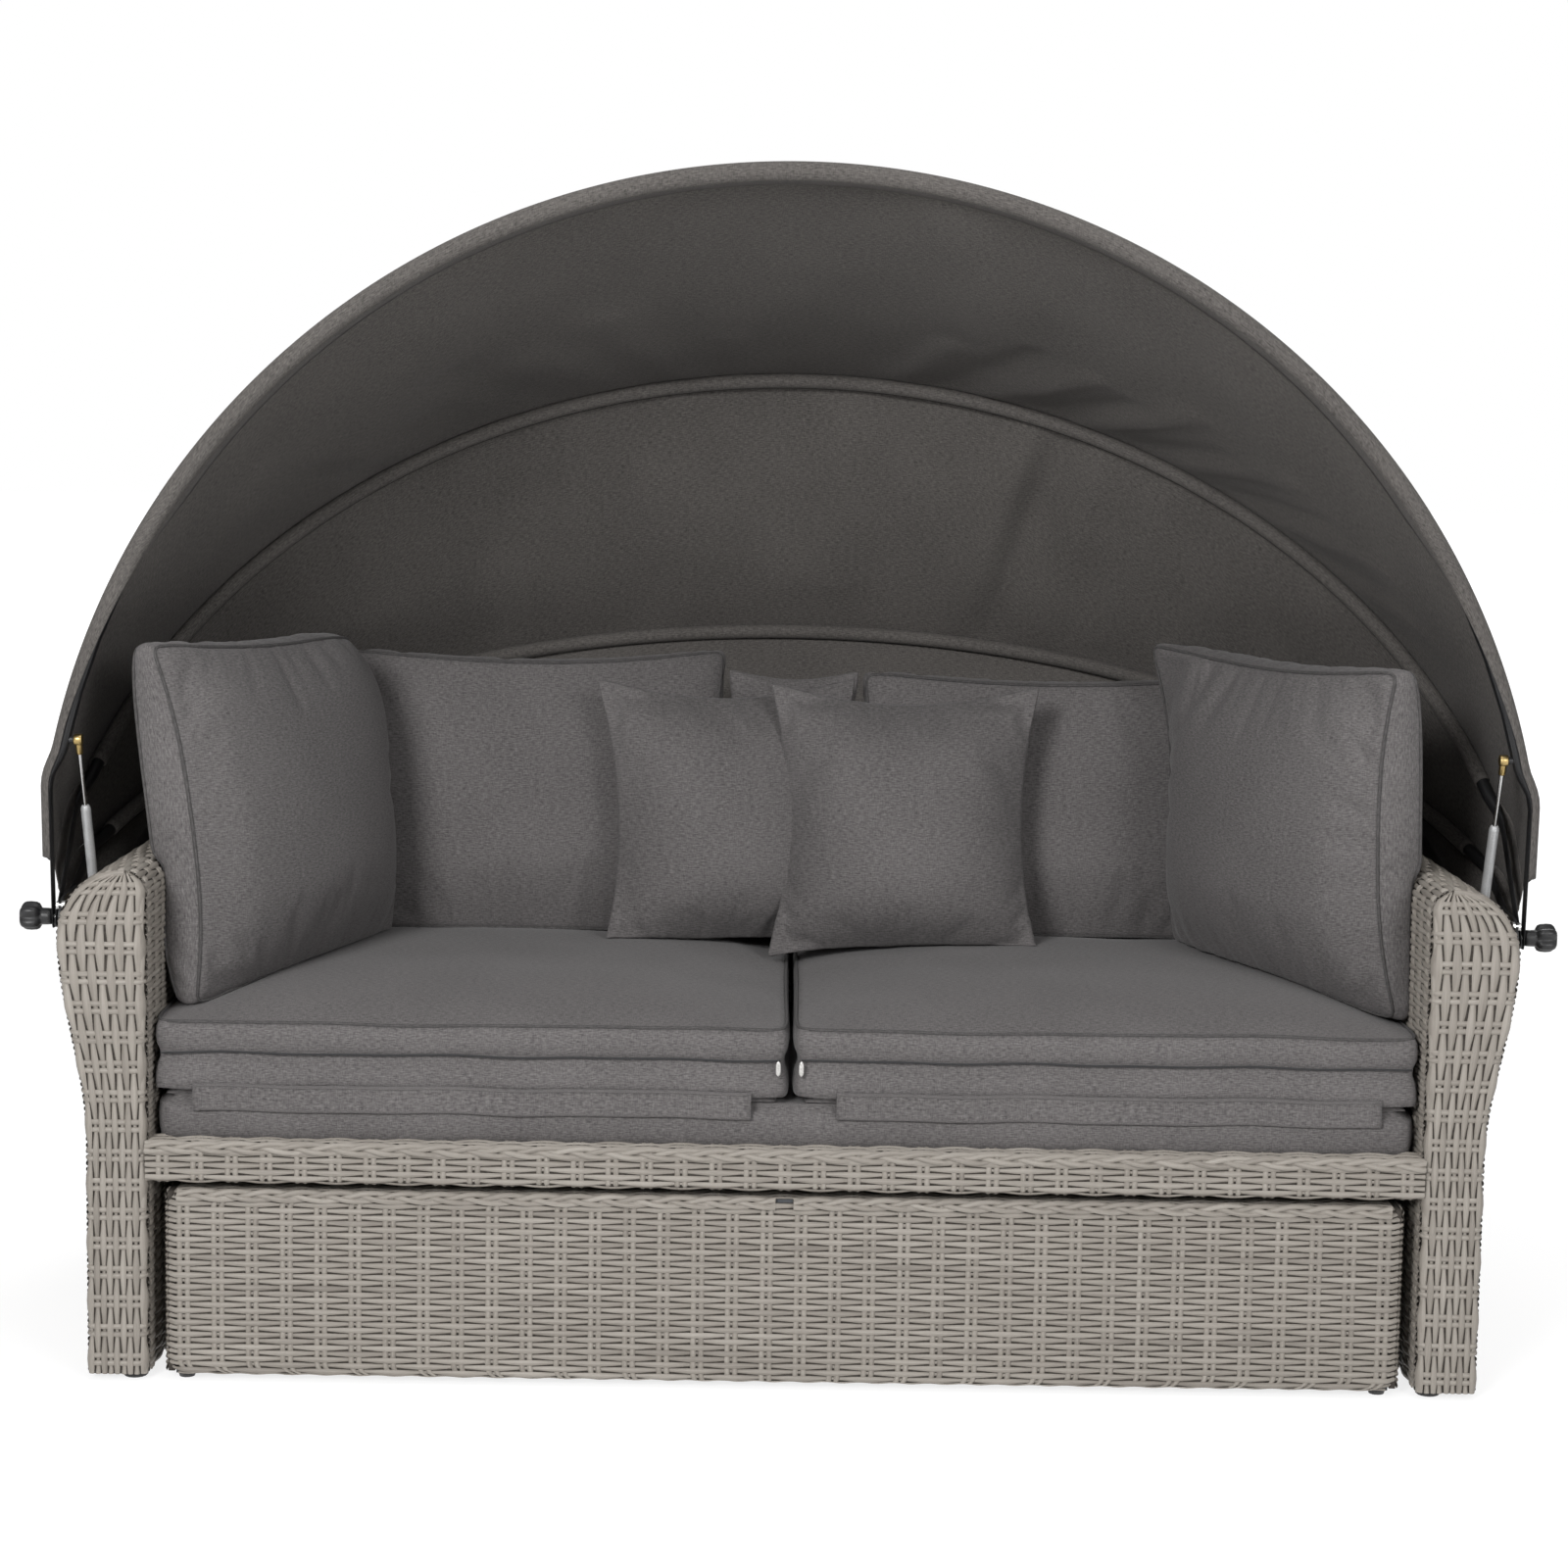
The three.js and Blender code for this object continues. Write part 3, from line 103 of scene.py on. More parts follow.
class Nodes:
    """A node tree whose nodes are added by one method."""

    def __init__(self, tree):
        self.tree = tree

    def node(self, kind, settings=None, inputs=None, output=0):
        """Adds a node of that kind: its settings first, then the values or links of its sockets."""
        made = self.tree.nodes.new("ShaderNode" + kind)
        for key, value in (settings or {}).items():
            if key == "stops":
                ramp = made.color_ramp.elements
                while len(ramp) < len(value):
                    ramp.new(0.5)
                for stop, (place, colour) in zip(ramp, value):
                    stop.position = place
                    stop.color = (*colour, 1)
            else:
                setattr(made, key, value)
        for key, value in (inputs or {}).items():
            self.join(value, made.inputs[key])
        return Socket(self, made.outputs[output])

    def join(self, value, socket):
        """Links an output to a socket, or sets the socket to a value."""
        if isinstance(value, Socket):
            self.tree.links.new(value.socket, socket)
        else:
            socket.default_value = value


class Finish(Nodes):
    """A material with one Principled shader."""

    def __init__(self, name, **values):
        self.material = bpy.data.materials.new(name)
        self.material.use_nodes = True
        super().__init__(self.material.node_tree)
        self.shader = self.tree.nodes["Principled BSDF"]
        for key, value in values.items():
            self.feed(key.replace("_", " "), value)

    def feed(self, name, value):
        """Gives a socket of the shader a value or a link."""
        self.join(value, self.shader.inputs[name])

    def noise(self, scale, detail=2.0):
        """Noise that is fixed to the object, with scale grains to the metre."""
        place = self.node("TexCoord", output="Object")
        return self.node("TexNoise", {}, {"Vector": place, "Scale": scale, "Detail": detail})

    def colour(self, amount, *stops):
        """Base colour from a ramp over amount. Each stop is a place on it and a colour."""
        self.feed("Base Color", self.node("ValToRGB", {"stops": stops}, {"Fac": amount}))

    def bump(self, height, distance, strength):
        """Relief: height times distance in metres, weakened by strength."""
        inputs = {"Height": height, "Distance": distance, "Strength": strength}
        self.feed("Normal", self.node("Bump", {}, inputs))


def rgb(colour):
    """A colour with full opacity, as sockets take it."""
    return (*colour, 1)


def mesh_piece(name, points, faces, finish, corner_uv=None, layer="cloth"):
    """Puts points and faces into a new mesh object at the origin, with UVs per corner in metres."""
    mesh = bpy.data.meshes.new(name)
    mesh.from_pydata(np.asarray(points, float).reshape(-1, 3).tolist(), [], [list(f) for f in faces])
    mesh.polygons.foreach_set("use_smooth", np.full(len(mesh.polygons), True))
    if corner_uv is not None:
        mesh.uv_layers.new(name=layer).data.foreach_set("uv", np.asarray(corner_uv, np.float32).ravel())
    mesh.materials.append(finish.material)
    mesh.update()
    piece = bpy.data.objects.new(name, mesh)
    bpy.context.scene.collection.objects.link(piece)
    return piece


def grid_faces(rows, columns):
    """Quads of a grid of points that is rows by columns, numbered row by row."""
    corner = (np.arange(rows - 1)[:, None] * columns + np.arange(columns - 1)[None, :]).ravel()
    return np.stack([corner, corner + 1, corner + 1 + columns, corner + columns], 1)


studio = Finish("studio_white", Base_Color=rgb((0.8, 0.8, 0.8)), Roughness=0.9)
seen = (studio.node("LightPath", output="Is Camera Ray") + studio.node("LightPath", output="Is Glossy Ray")
        + studio.node("LightPath", output="Is Transmission Ray"))
away = studio.node("VectorMath", {"operation": "LENGTH"}, {"Vector": studio.node("TexCoord", output="Object")},
                   output="Value")
far = studio.node("MapRange", {"interpolation_type": "SMOOTHSTEP"},
                  {"Value": away, "From Min": 2.0, "From Max": 7.0}, output="Result")
glow = studio.node("Emission", {}, {"Color": rgb((1, 1, 1)), "Strength": 1.3})
lit_floor = Socket(studio, studio.shader.outputs[0])
blended = studio.node("MixShader", {}, {0: seen * (0.62 + far * 0.3), 1: lit_floor, 2: glow})
studio.join(blended, studio.tree.nodes["Material Output"].inputs["Surface"])
FLOOR_REACH = 60
corners = np.array([[x, y, -0.0005] for y in (-FLOOR_REACH, FLOOR_REACH) for x in (-FLOOR_REACH, FLOOR_REACH)])
floor = mesh_piece("studio_floor", corners, grid_faces(2, 2), studio)

world = bpy.data.worlds.new("white_room")
bpy.context.scene.world = world
world.use_nodes = True
room = Nodes(world.node_tree)
background = room.tree.nodes["Background"]
ROOM_LIGHT = 0.26
room.join(rgb((1, 1, 1)), background.inputs["Color"])
room.join(room.node("LightPath", output="Is Camera Ray") * (1 - ROOM_LIGHT) + ROOM_LIGHT,
          background.inputs["Strength"])

for name, place, aim, size, power in (
        ("key_lamp", (-1.9, -5.2, 2.7), 0.7, 1.6, 195), ("fill_lamp", (2.5, -5.1, 2.3), 0.6, 1.8, 88),
        ("top_lamp", (0.0, -1.0, 4.6), 0.5, 2.6, 50), ("rear_lamp", (1.6, 5.0, 3.6), 0.5, 2.4, 110)):
    # A disc of that size in metres and power in watts, turned to the middle line at height aim.
    lamp = bpy.data.lights.new(name, "AREA")
    lamp.shape, lamp.size, lamp.energy = "DISK", size, power
    stand = bpy.data.objects.new(name, lamp)
    bpy.context.scene.collection.objects.link(stand)
    stand.location = place
    stand.rotation_euler = (Vector((0, 0, aim)) - stand.location).to_track_quat("-Z", "Y").to_euler()

# Canopy cloth.
# Dyed polyester woven from light and dark yarns, cut in five sheets: front, middle, back and one at each
# rear corner. They are sewn into sleeves on the hoops, sag a little and pucker beside the middle seam.
PIVOT_Y = FRONT + 0.200
PIVOT_Z = 0.600
HOOP_R = 1.033
STRAIGHT = 0.18  # length of a hoop's straight end
EASING = 0.06  # length over which it bends into the half circle
BLADE_X = {"rear": 1.0126, "middle": 1.0176, "front": 1.0226}
TILT = {"front": -4.0, "middle": 42.0, "rear": 70.0}  # degrees back from upright
CLOTH_OFF = 0.0124  # from a tube's middle to the cloth on it
CLOTH_THICK = 0.0016
HEM_ANGLE = math.asin(0.085 / HOOP_R)
COLUMNS = 250


def smooth_step(value):
    """From 0 to 1 with level ends: 3 v squared less 2 v cubed."""
    value = np.clip(value, 0, 1)
    return value * value * (3 - 2 * value)


def hoop_line(angle, blade_x):
    """X and distance from the hinge along a hoop: a half circle whose ends run straight beside the arms."""
    reach = HOOP_R * np.sin(angle)
    x = blade_x + (HOOP_R * np.abs(np.cos(angle)) - blade_x) * smooth_step((reach - STRAIGHT) / EASING)
    return np.sign(np.cos(angle)) * x, reach


def about_hinge(x, reach, back, tilt):
    """Points at x, at reach from the hinge line in a plane turned back by tilt degrees, and back from it."""
    s, c = math.sin(math.radians(tilt)), math.cos(math.radians(tilt))
    return np.stack([x, PIVOT_Y + reach * s + back * c, PIVOT_Z + reach * c - back * s], -1)


def on_hoop(tilt, angle, out, back):
    """Points beside a hoop: out from its line and back from its plane."""
    x, reach = hoop_line(angle, BLADE_X["front"])
    return about_hinge(x + out * np.cos(angle), reach + out * np.sin(angle), back, tilt)


def melange(name, dark, light, sheen):
    """Cloth of mixed yarns: noises drawn out along warp and weft choose between dark and light yarn."""
    finish = Finish(name, Roughness=0.92, Sheen_Weight=sheen, Sheen_Roughness=0.5)
    cloth = finish.node("UVMap", {"uv_map": "cloth"})

    def yarn(along, across, detail):
        laid = finish.node("Mapping", {}, {"Vector": cloth, "Scale": (along, across, 1)})
        return finish.node("TexNoise", {}, {"Vector": laid, "Scale": 1.0, "Detail": detail, "Roughness": 0.6})

    weft, warp, slub, broad = yarn(120, 700, 2.0), yarn(700, 130, 2.0), yarn(130, 460, 1.0), yarn(5, 5, 2.0)
    mixed = weft * 0.36 + warp * 0.26 + slub * 0.28 + broad * 0.10
    finish.colour(mixed, (0.38, dark), (0.62, light))
    finish.bump(weft * 0.6 + warp * 0.6, 0.0004, 0.5)
    return finish


canopy_cloth = melange("canopy_melange", (0.046, 0.042, 0.039), (0.146, 0.134, 0.125), 0.04)
stitching = melange("dark_stitching", (0.012, 0.011, 0.010), (0.040, 0.036, 0.033), 0.0)


def unit(vectors):
    """Vectors over their lengths."""
    return vectors / np.maximum(np.linalg.norm(vectors, axis=-1, keepdims=True), 1e-9)


def lengths(points, axis):
    """Distance run along a grid of points, summed from its start along one axis."""
    steps = np.linalg.norm(np.diff(points, axis=axis), axis=-1)
    return np.insert(np.cumsum(steps, axis), 0, 0.0, axis)


def rim_of(rows, columns):
    """Numbers of a grid's outermost points, once round, with the first again at the end."""
    index = np.arange(rows * columns).reshape(rows, columns)
    return np.concatenate([index[0, :-1], index[:-1, -1], index[-1, :0:-1], index[:0:-1, 0], index[:1, 0]])


def stacked(*coordinates):
    """Points or UVs from their coordinates, each spread to the shape of all."""
    return np.stack(np.broadcast_arrays(*coordinates), -1)


def sheet_piece(name, grid):
    """A closed sheet of cloth: a grid of points moved half its thickness to both sides along its normals."""
    rows, columns = grid.shape[:2]
    normal = unit(np.cross(np.gradient(grid, axis=1), np.gradient(grid, axis=0)))
    half = normal * CLOTH_THICK / 2
    layers = np.concatenate([(grid + half).reshape(-1, 3), (grid - half).reshape(-1, 3)])
    count = rows * columns
    ring = rim_of(rows, columns)
    rim, after = ring[:-1], ring[1:]
    top = grid_faces(rows, columns)
    faces = np.concatenate([top[:, ::-1], top + count, np.stack([rim, after, after + count, rim + count], 1)])
    across = lengths(grid, 1)
    flat = np.stack([across - across[:, columns // 2, None], lengths(grid, 0)], -1).reshape(-1, 2)
    return mesh_piece(name, layers, faces, canopy_cloth, np.concatenate([flat, flat])[faces])


def folds(along, share, lines):
    """Soft ridges in cloth. Each line runs from one (along, share) to another and lifts it by height times e to
    the minus (distance / width) squared, with 55% less at its far end."""
    lift = np.zeros(np.broadcast(along, share).shape)
    for a0, s0, a1, s1, height, width in lines:
        run = np.array([a1 - a0, (s1 - s0) * 0.3])
        size = run @ run
        at = np.clip(((along - a0) * run[0] + (share - s0) * 0.3 * run[1]) / size, 0, 1)
        away = np.hypot(along - a0 - at * run[0], (share - s0) * 0.3 - at * run[1])
        lift = lift + height * np.exp(-((away / width) ** 2)) * (1 - 0.55 * at)
    return lift


def to_hinge(points):
    """Directions of length 1 from points to the hinge line, square to it."""
    way = np.array([0, PIVOT_Y, PIVOT_Z]) - points
    way[..., 0] = 0
    return unit(way)


def stretched(first, last, shares, lift=lambda along, share: 0):
    """Cloth between two rows of points, moved in towards the hinge line by lift(along, share)."""
    share = shares[:, None]
    along = np.linspace(0, 1, first.shape[0])[None]
    angle = HEM_ANGLE + (math.pi - 2 * HEM_ANGLE) * along
    flat = first[None] * (1 - share[..., None]) + last[None] * share[..., None]
    return flat + to_hinge(flat) * (lift(along, share) * np.sin(angle))[..., None]


column_angle = np.linspace(HEM_ANGLE, math.pi - HEM_ANGLE, COLUMNS)


def wrap(tilt, degrees):
    """A row of cloth lying on a hoop, some degrees round the tube from its outermost line."""
    turn = math.radians(degrees)
    return on_hoop(tilt, column_angle, CLOTH_OFF * math.cos(turn), CLOTH_OFF * math.sin(turn))


def sleeve(tilt, lap):
    """The front hem: cloth turned round the hoop from outside to inside, then laid back along itself by lap.
    Beside the gas spring's stud the sleeve stays open, so the turn grows from half to whole."""
    past_stud, closing = 0.276, 0.33
    opening = 0.5 + 0.5 * np.clip((HOOP_R * np.sin(column_angle) - past_stud) / closing, 0, 1)
    rows = []
    laid_back = [(-178, lap), (-178, lap * 0.55), (-178, lap * 0.2)]
    for degrees, back in laid_back + [(degrees, 0) for degrees in range(-176, 10, 12)]:
        turn = np.radians(degrees) * opening
        laid = back * smooth_step(5 * opening - 4)
        rows.append(on_hoop(tilt, column_angle, CLOTH_OFF * np.cos(turn) - laid * 0.10,
                            CLOTH_OFF * np.sin(turn) + laid))
    return np.stack(rows)


def slack(along, share, seed):
    """Slight unevenness of hand-sewn cloth: four long waves with fixed phases."""
    phase = np.random.default_rng(seed).uniform(0, 6.28, 4)
    waves = (np.sin(9 * along + 4 * share + phase[0]) + 0.7 * np.sin(21 * along - 7 * share + phase[1])
             + 0.5 * np.sin(43 * along + 9 * share + phase[2])
             + 0.35 * np.sin(71 * along - 13 * share + phase[3]))
    return waves * np.sin(math.pi * share)


# Ridges of the front and middle sheets: along, share, along, share, height and width, in thousandths.
front_lines = np.array([
    (450, 1000, 425, 700, 16, 9), (425, 1000, 385, 620, -18, 9), (402, 1000, 355, 660, 20, 9),
    (372, 1000, 330, 720, -19, 8), (350, 1000, 300, 600, 21, 9), (322, 1000, 275, 720, -18, 8),
    (300, 1000, 245, 580, 20, 9), (268, 1000, 215, 660, -19, 8), (245, 1000, 180, 600, 20, 9),
    (214, 1000, 165, 700, -16, 8), (190, 1000, 130, 620, 17, 8), (160, 1000, 105, 660, -15, 8),
    (520, 1000, 535, 740, 10, 12), (590, 1000, 620, 700, 12, 13), (660, 1000, 690, 760, -11, 11),
    (555, 1000, 590, 550, 17, 15), (630, 1000, 672, 550, -16, 14), (700, 1000, 745, 600, 15, 12),
    (740, 1000, 780, 700, 13, 11), (820, 1000, 860, 720, 13, 10), (300, 100, 220, 850, 14, 18),
    (430, 100, 390, 800, 18, 22), (660, 100, 720, 800, 19, 26), (150, 100, 110, 800, 12, 16)]) / 1000
middle_lines = np.array([
    (378, 0, 410, 1000, 22, 10), (356, 0, 392, 1000, -20, 10), (338, 0, 362, 950, 17, 9),
    (470, 0, 478, 800, 12, 14), (440, 0, 452, 900, -10, 12), (300, 0, 328, 900, 15, 10),
    (270, 0, 292, 800, -14, 10), (245, 0, 262, 800, 14, 9), (205, 0, 222, 800, 14, 10),
    (560, 0, 552, 900, 11, 16), (620, 0, 600, 900, 13, 14), (680, 100, 660, 900, -12, 12),
    (740, 0, 712, 900, 14, 12), (820, 0, 790, 800, 14, 10), (160, 0, 175, 900, 12, 10)]) / 1000


def draped(sag, lines, uneven, seed):
    """A lift for stretched(): sag half-way, ridges that fade to nothing at both ends, and slight unevenness."""
    def lift(along, share):
        ridges = folds(along, share, lines) * np.sin(math.pi * share) ** 0.5 * (share < 1)
        return sag * 4 * share * (1 - share) + ridges + uneven * slack(along, share, seed)
    return lift


front_cloth = np.concatenate([
    sleeve(TILT["front"], 0.040),
    stretched(wrap(TILT["front"], 25), wrap(TILT["middle"], -28), np.linspace(0, 1, 72),
              draped(0.022, front_lines, 0.0022, 3)),
    wrap(TILT["middle"], -14)[None], wrap(TILT["middle"], -3)[None]])
front_panel = sheet_piece("front_panel_cloth", front_cloth)
middle_cloth = np.concatenate([
    wrap(TILT["middle"], 3)[None],
    stretched(wrap(TILT["middle"], 18), wrap(TILT["rear"], -18), np.linspace(0, 1, 50),
              draped(0.011, middle_lines, 0.002, 5)),
    wrap(TILT["rear"], -3)[None]])
middle_panel = sheet_piece("middle_panel_cloth", middle_cloth)


def hem_row():
    """The back panel's hem in plan. Of its columns, 7 parts in 16 run beside the arms, 1 round the corners and
    8 along the back."""
    side_x, rear_y, corner = 0.984, FRONT + 0.912, 0.016
    start_x, start_y = BLADE_X["front"] + CLOTH_OFF, PIVOT_Y + 0.085
    t = np.abs(np.linspace(-1, 1, COLUMNS))[:, None] * 16
    y_side = start_y + (rear_y - corner - start_y) * np.clip((16 - t) / 7, 0, 1)
    x_side = start_x + (side_x - start_x) * smooth_step((y_side - start_y) / 0.16)
    corner_share = np.clip(9 - t, 0, 1)
    rear_share = np.clip(t / 8, 0, 1)
    x = np.where(t > 9, x_side, np.where(t > 8, side_x - corner * corner_share, (side_x - corner) * rear_share))
    y = np.where(t > 9, y_side, rear_y - corner * (1 - corner_share))
    sign = -np.sign(np.linspace(-1, 1, COLUMNS))[:, None]
    return np.concatenate([sign * x, y, np.full_like(x, PIVOT_Z - 0.04)], 1)


hem = hem_row()
below_rear = wrap(TILT["rear"], 55)
shoulder = hem.copy()
shoulder[:, 2] = np.minimum(0.702, below_rear[:, 2] * 0.6 + hem[:, 2] * 0.4)
back_cloth = np.concatenate([
    wrap(TILT["rear"], 3)[None], wrap(TILT["rear"], 28)[None],
    stretched(below_rear, shoulder, np.linspace(0, 0.97, 34),
              lambda a, s: -0.008 * np.sin(12.6 * s + 1.2 * np.sin(5 * a)) * (0.7 + 0.3 * np.sin(17 * a))
              + 0.0015 * slack(a, s, 8)),
    stretched(shoulder, hem, np.linspace(0, 1, 14))])
corner_column = round((COLUMNS - 1) / 4)
side_right = sheet_piece("right_side_panel_cloth", back_cloth[:, :corner_column + 1])
back_panel = sheet_piece("back_panel_cloth", back_cloth[:, corner_column:-corner_column])
side_left = sheet_piece("left_side_panel_cloth", back_cloth[:, -corner_column - 1:])

for panel, node, flat, bodies in (
        (front_panel, "canopy_front_panel", (3.2, 0.92), ("middle_canopy", "front_canopy")),
        (middle_panel, "canopy_middle_panel", (3.2, 0.52), ("sofa", "middle_canopy")),
        (back_panel, "canopy_back_panel", (2.0, 0.5), None),
        (side_left, "canopy_side_panel_left", (0.7, 0.3), None),
        (side_right, "canopy_side_panel_right", (0.7, 0.3), None)):
    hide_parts(node)
    if bodies:
        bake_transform(panel)
    else:
        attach(panel, "sofa")


def share_by_angle(panel):
    """Reads the positions of a panel's points, and does nothing with them."""
    co = np.empty(len(panel.data.vertices) * 3, np.float32)
    panel.data.vertices.foreach_get("co", co)
    co = co.reshape(-1, 3)


share_by_angle(front_panel)
share_by_angle(middle_panel)


def strip(name, points, finish, girth=0.1):
    """A closed band: rows of points round its section, one for each place along it, and a face at each end."""
    count, sides = points.shape[:2]
    index = np.arange(count * sides).reshape(count, sides)
    looped = np.concatenate([index, index[:, :1]], 1)
    cells = grid_faces(count, sides + 1)
    faces = looped.ravel()[cells].tolist() + [index[0, ::-1].tolist(), index[-1].tolist()]
    run = lengths(points[:, :1], 0)[:, 0]
    around = np.linspace(0, girth, sides + 1)
    uv = stacked(run[:, None], around[None]).reshape(-1, 2)[cells].reshape(-1, 2)
    return mesh_piece(name, points, faces, finish, np.concatenate([uv, np.zeros((2 * sides, 2))]))


def full_turn(count):
    """That many angles, evenly round a circle."""
    return np.linspace(0, 2 * math.pi, count, endpoint=False)


def rings_round(line, ahead, away, radius, sides, way):
    """Circles about the points of a line that runs along ahead. The first point of each lies on the side of
    away, made square to ahead, and the others follow one way round or the other."""
    ahead = unit(ahead)
    away = unit(away - ahead * (away * ahead).sum(1, keepdims=True))
    beside = way * np.cross(away, ahead)
    turn = full_turn(sides)[None, :, None]
    return line[:, None] + radius * (np.cos(turn) * away[:, None] + np.sin(turn) * beside[:, None])


for name, blade, out, back, depth, radius, finish, body, free in (
        ("middle_sleeve", "middle", 0, 0, 0, 0.0112, canopy_cloth, "middle_canopy", 0.26),
        ("rear_sleeve", "rear", 0, 0, 0, 0.0112, canopy_cloth, "sofa", 0.26),
        ("middle_sleeve_stitching", "middle", -0.0075, 0.0085, 0, 0.0011, stitching, "middle_canopy", 0.26),
        ("rear_sleeve_stitching", "rear", -0.0075, 0.0085, 0, 0.0011, stitching, "sofa", 0.26),
        ("front_hem_stitching", "front", 0.0, 0.0475, 0.004, 0.0010, stitching, "front_canopy", 0.62)):
    # A cord along the hoop, with both ends left free beside the hinge.
    line = on_hoop(TILT[blade], column_angle, out, back)
    line = line + to_hinge(line) * depth
    start = np.argmax(HOOP_R * np.sin(column_angle) > free)
    line = line[start:-start]
    rings = rings_round(line, np.gradient(line, axis=0), line - np.array([0, PIVOT_Y, PIVOT_Z]), radius,
                        14 if radius > 0.005 else 6, 1)
    cord = strip(name, rings, finish, 2 * math.pi * radius)
    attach(cord, body)

# Hoops.
# Aluminium tube bent to a half circle, powder-coated black. Both ends are pressed flat and
# drilled, and stacked on the hinge bolt.
TUBE_R = 0.009
black_coat = Finish("black_powder_coat", Metallic=0.3)
grit = black_coat.noise(900.0)
black_coat.colour(grit, (0.3, (0.012, 0.012, 0.013)), (0.8, (0.03, 0.03, 0.032)))
black_coat.feed("Roughness", 0.42 + grit * 0.12)
black_coat.bump(grit, 0.0002, 0.4)


def tube_faces(rings, sides):
    """Quads of a closed tube of rings, with one face at each end."""
    index = np.arange(rings * sides).reshape(rings, sides)
    beside = np.roll(index, -1, 1)
    walls = np.stack([index[:-1], beside[:-1], beside[1:], index[1:]], -1).reshape(-1, 4).tolist()
    return walls + [index[0, ::-1].tolist(), index[-1].tolist()]


def hoop_tube(blade):
    """A tube along a hoop. Its round section is pressed to a flat oval, 4 by 22 mm, near the hinge, and the
    oval's end is rounded."""
    ends = np.array([-0.015, -0.0135, -0.009, 0.0, 0.03, 0.09, 0.15])
    x_arc, reach_arc = hoop_line(np.linspace(math.asin(STRAIGHT / HOOP_R), math.pi / 2, 70), BLADE_X[blade])
    x = np.concatenate([np.full(len(ends), BLADE_X[blade]), x_arc])
    reach = np.concatenate([ends, reach_arc])
    pressed = 1 - smooth_step((reach - STRAIGHT) / EASING)
    nose = np.append([0.35, 0.62, 0.9], np.ones(len(reach) - 3))
    x = np.concatenate([x, -x[-2::-1]])
    reach, pressed, nose = (np.concatenate([v, v[-2::-1]]) for v in (reach, pressed, nose))
    tangent = unit(np.stack([np.gradient(x), np.gradient(reach)], 1))
    turn = full_turn(16)
    thin = (TUBE_R + (0.002 - TUBE_R) * pressed)[:, None] * np.cos(turn)
    wide = ((TUBE_R + (0.011 - TUBE_R) * pressed) * nose)[:, None] * np.sin(turn)
    across, out = x[:, None] + tangent[:, 1:] * thin, reach[:, None] - tangent[:, :1] * thin
    points = about_hinge(across, out, wide, TILT[blade])
    return mesh_piece(f"{blade}_hoop_tube", points, tube_faces(len(x), 16), black_coat)


for blade, body in (("rear", "sofa"), ("middle", "middle_canopy"), ("front", "front_canopy")):
    tube = hoop_tube(blade)
    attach(tube, body)
    if blade != "front":
        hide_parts(f"{blade}_hoop")

# Seat cushions.
# Foam pads in melange covers with piped edges: one long base and two toppers on it. The toppers
# are zipped along the front and joined to the base by two flaps, on which they fold forwards.
SEAT_X = 0.852
SEAT_FRONT = FRONT + 0.028
SEAT_REAR = FRONT + 0.817
SPLIT_X = 0.006
TOPPER_Z = 0.3856
SEAM_Z = 0.4856
CROWN = 0.036
PIPING_R = 0.0023

cushion_cloth = melange("cushion_melange", (0.062, 0.057, 0.057), (0.172, 0.161, 0.160), 0.10)
# The piping's cloth is the covers' cloth darkened: painted shade of the groove along each seam.
shaded_piping_cloth = melange("piping_shade_melange", (0.034, 0.032, 0.032), (0.098, 0.093, 0.092), 0.04)
zip_tape = melange("zip_tape", (0.016, 0.016, 0.017), (0.040, 0.040, 0.042), 0.1)


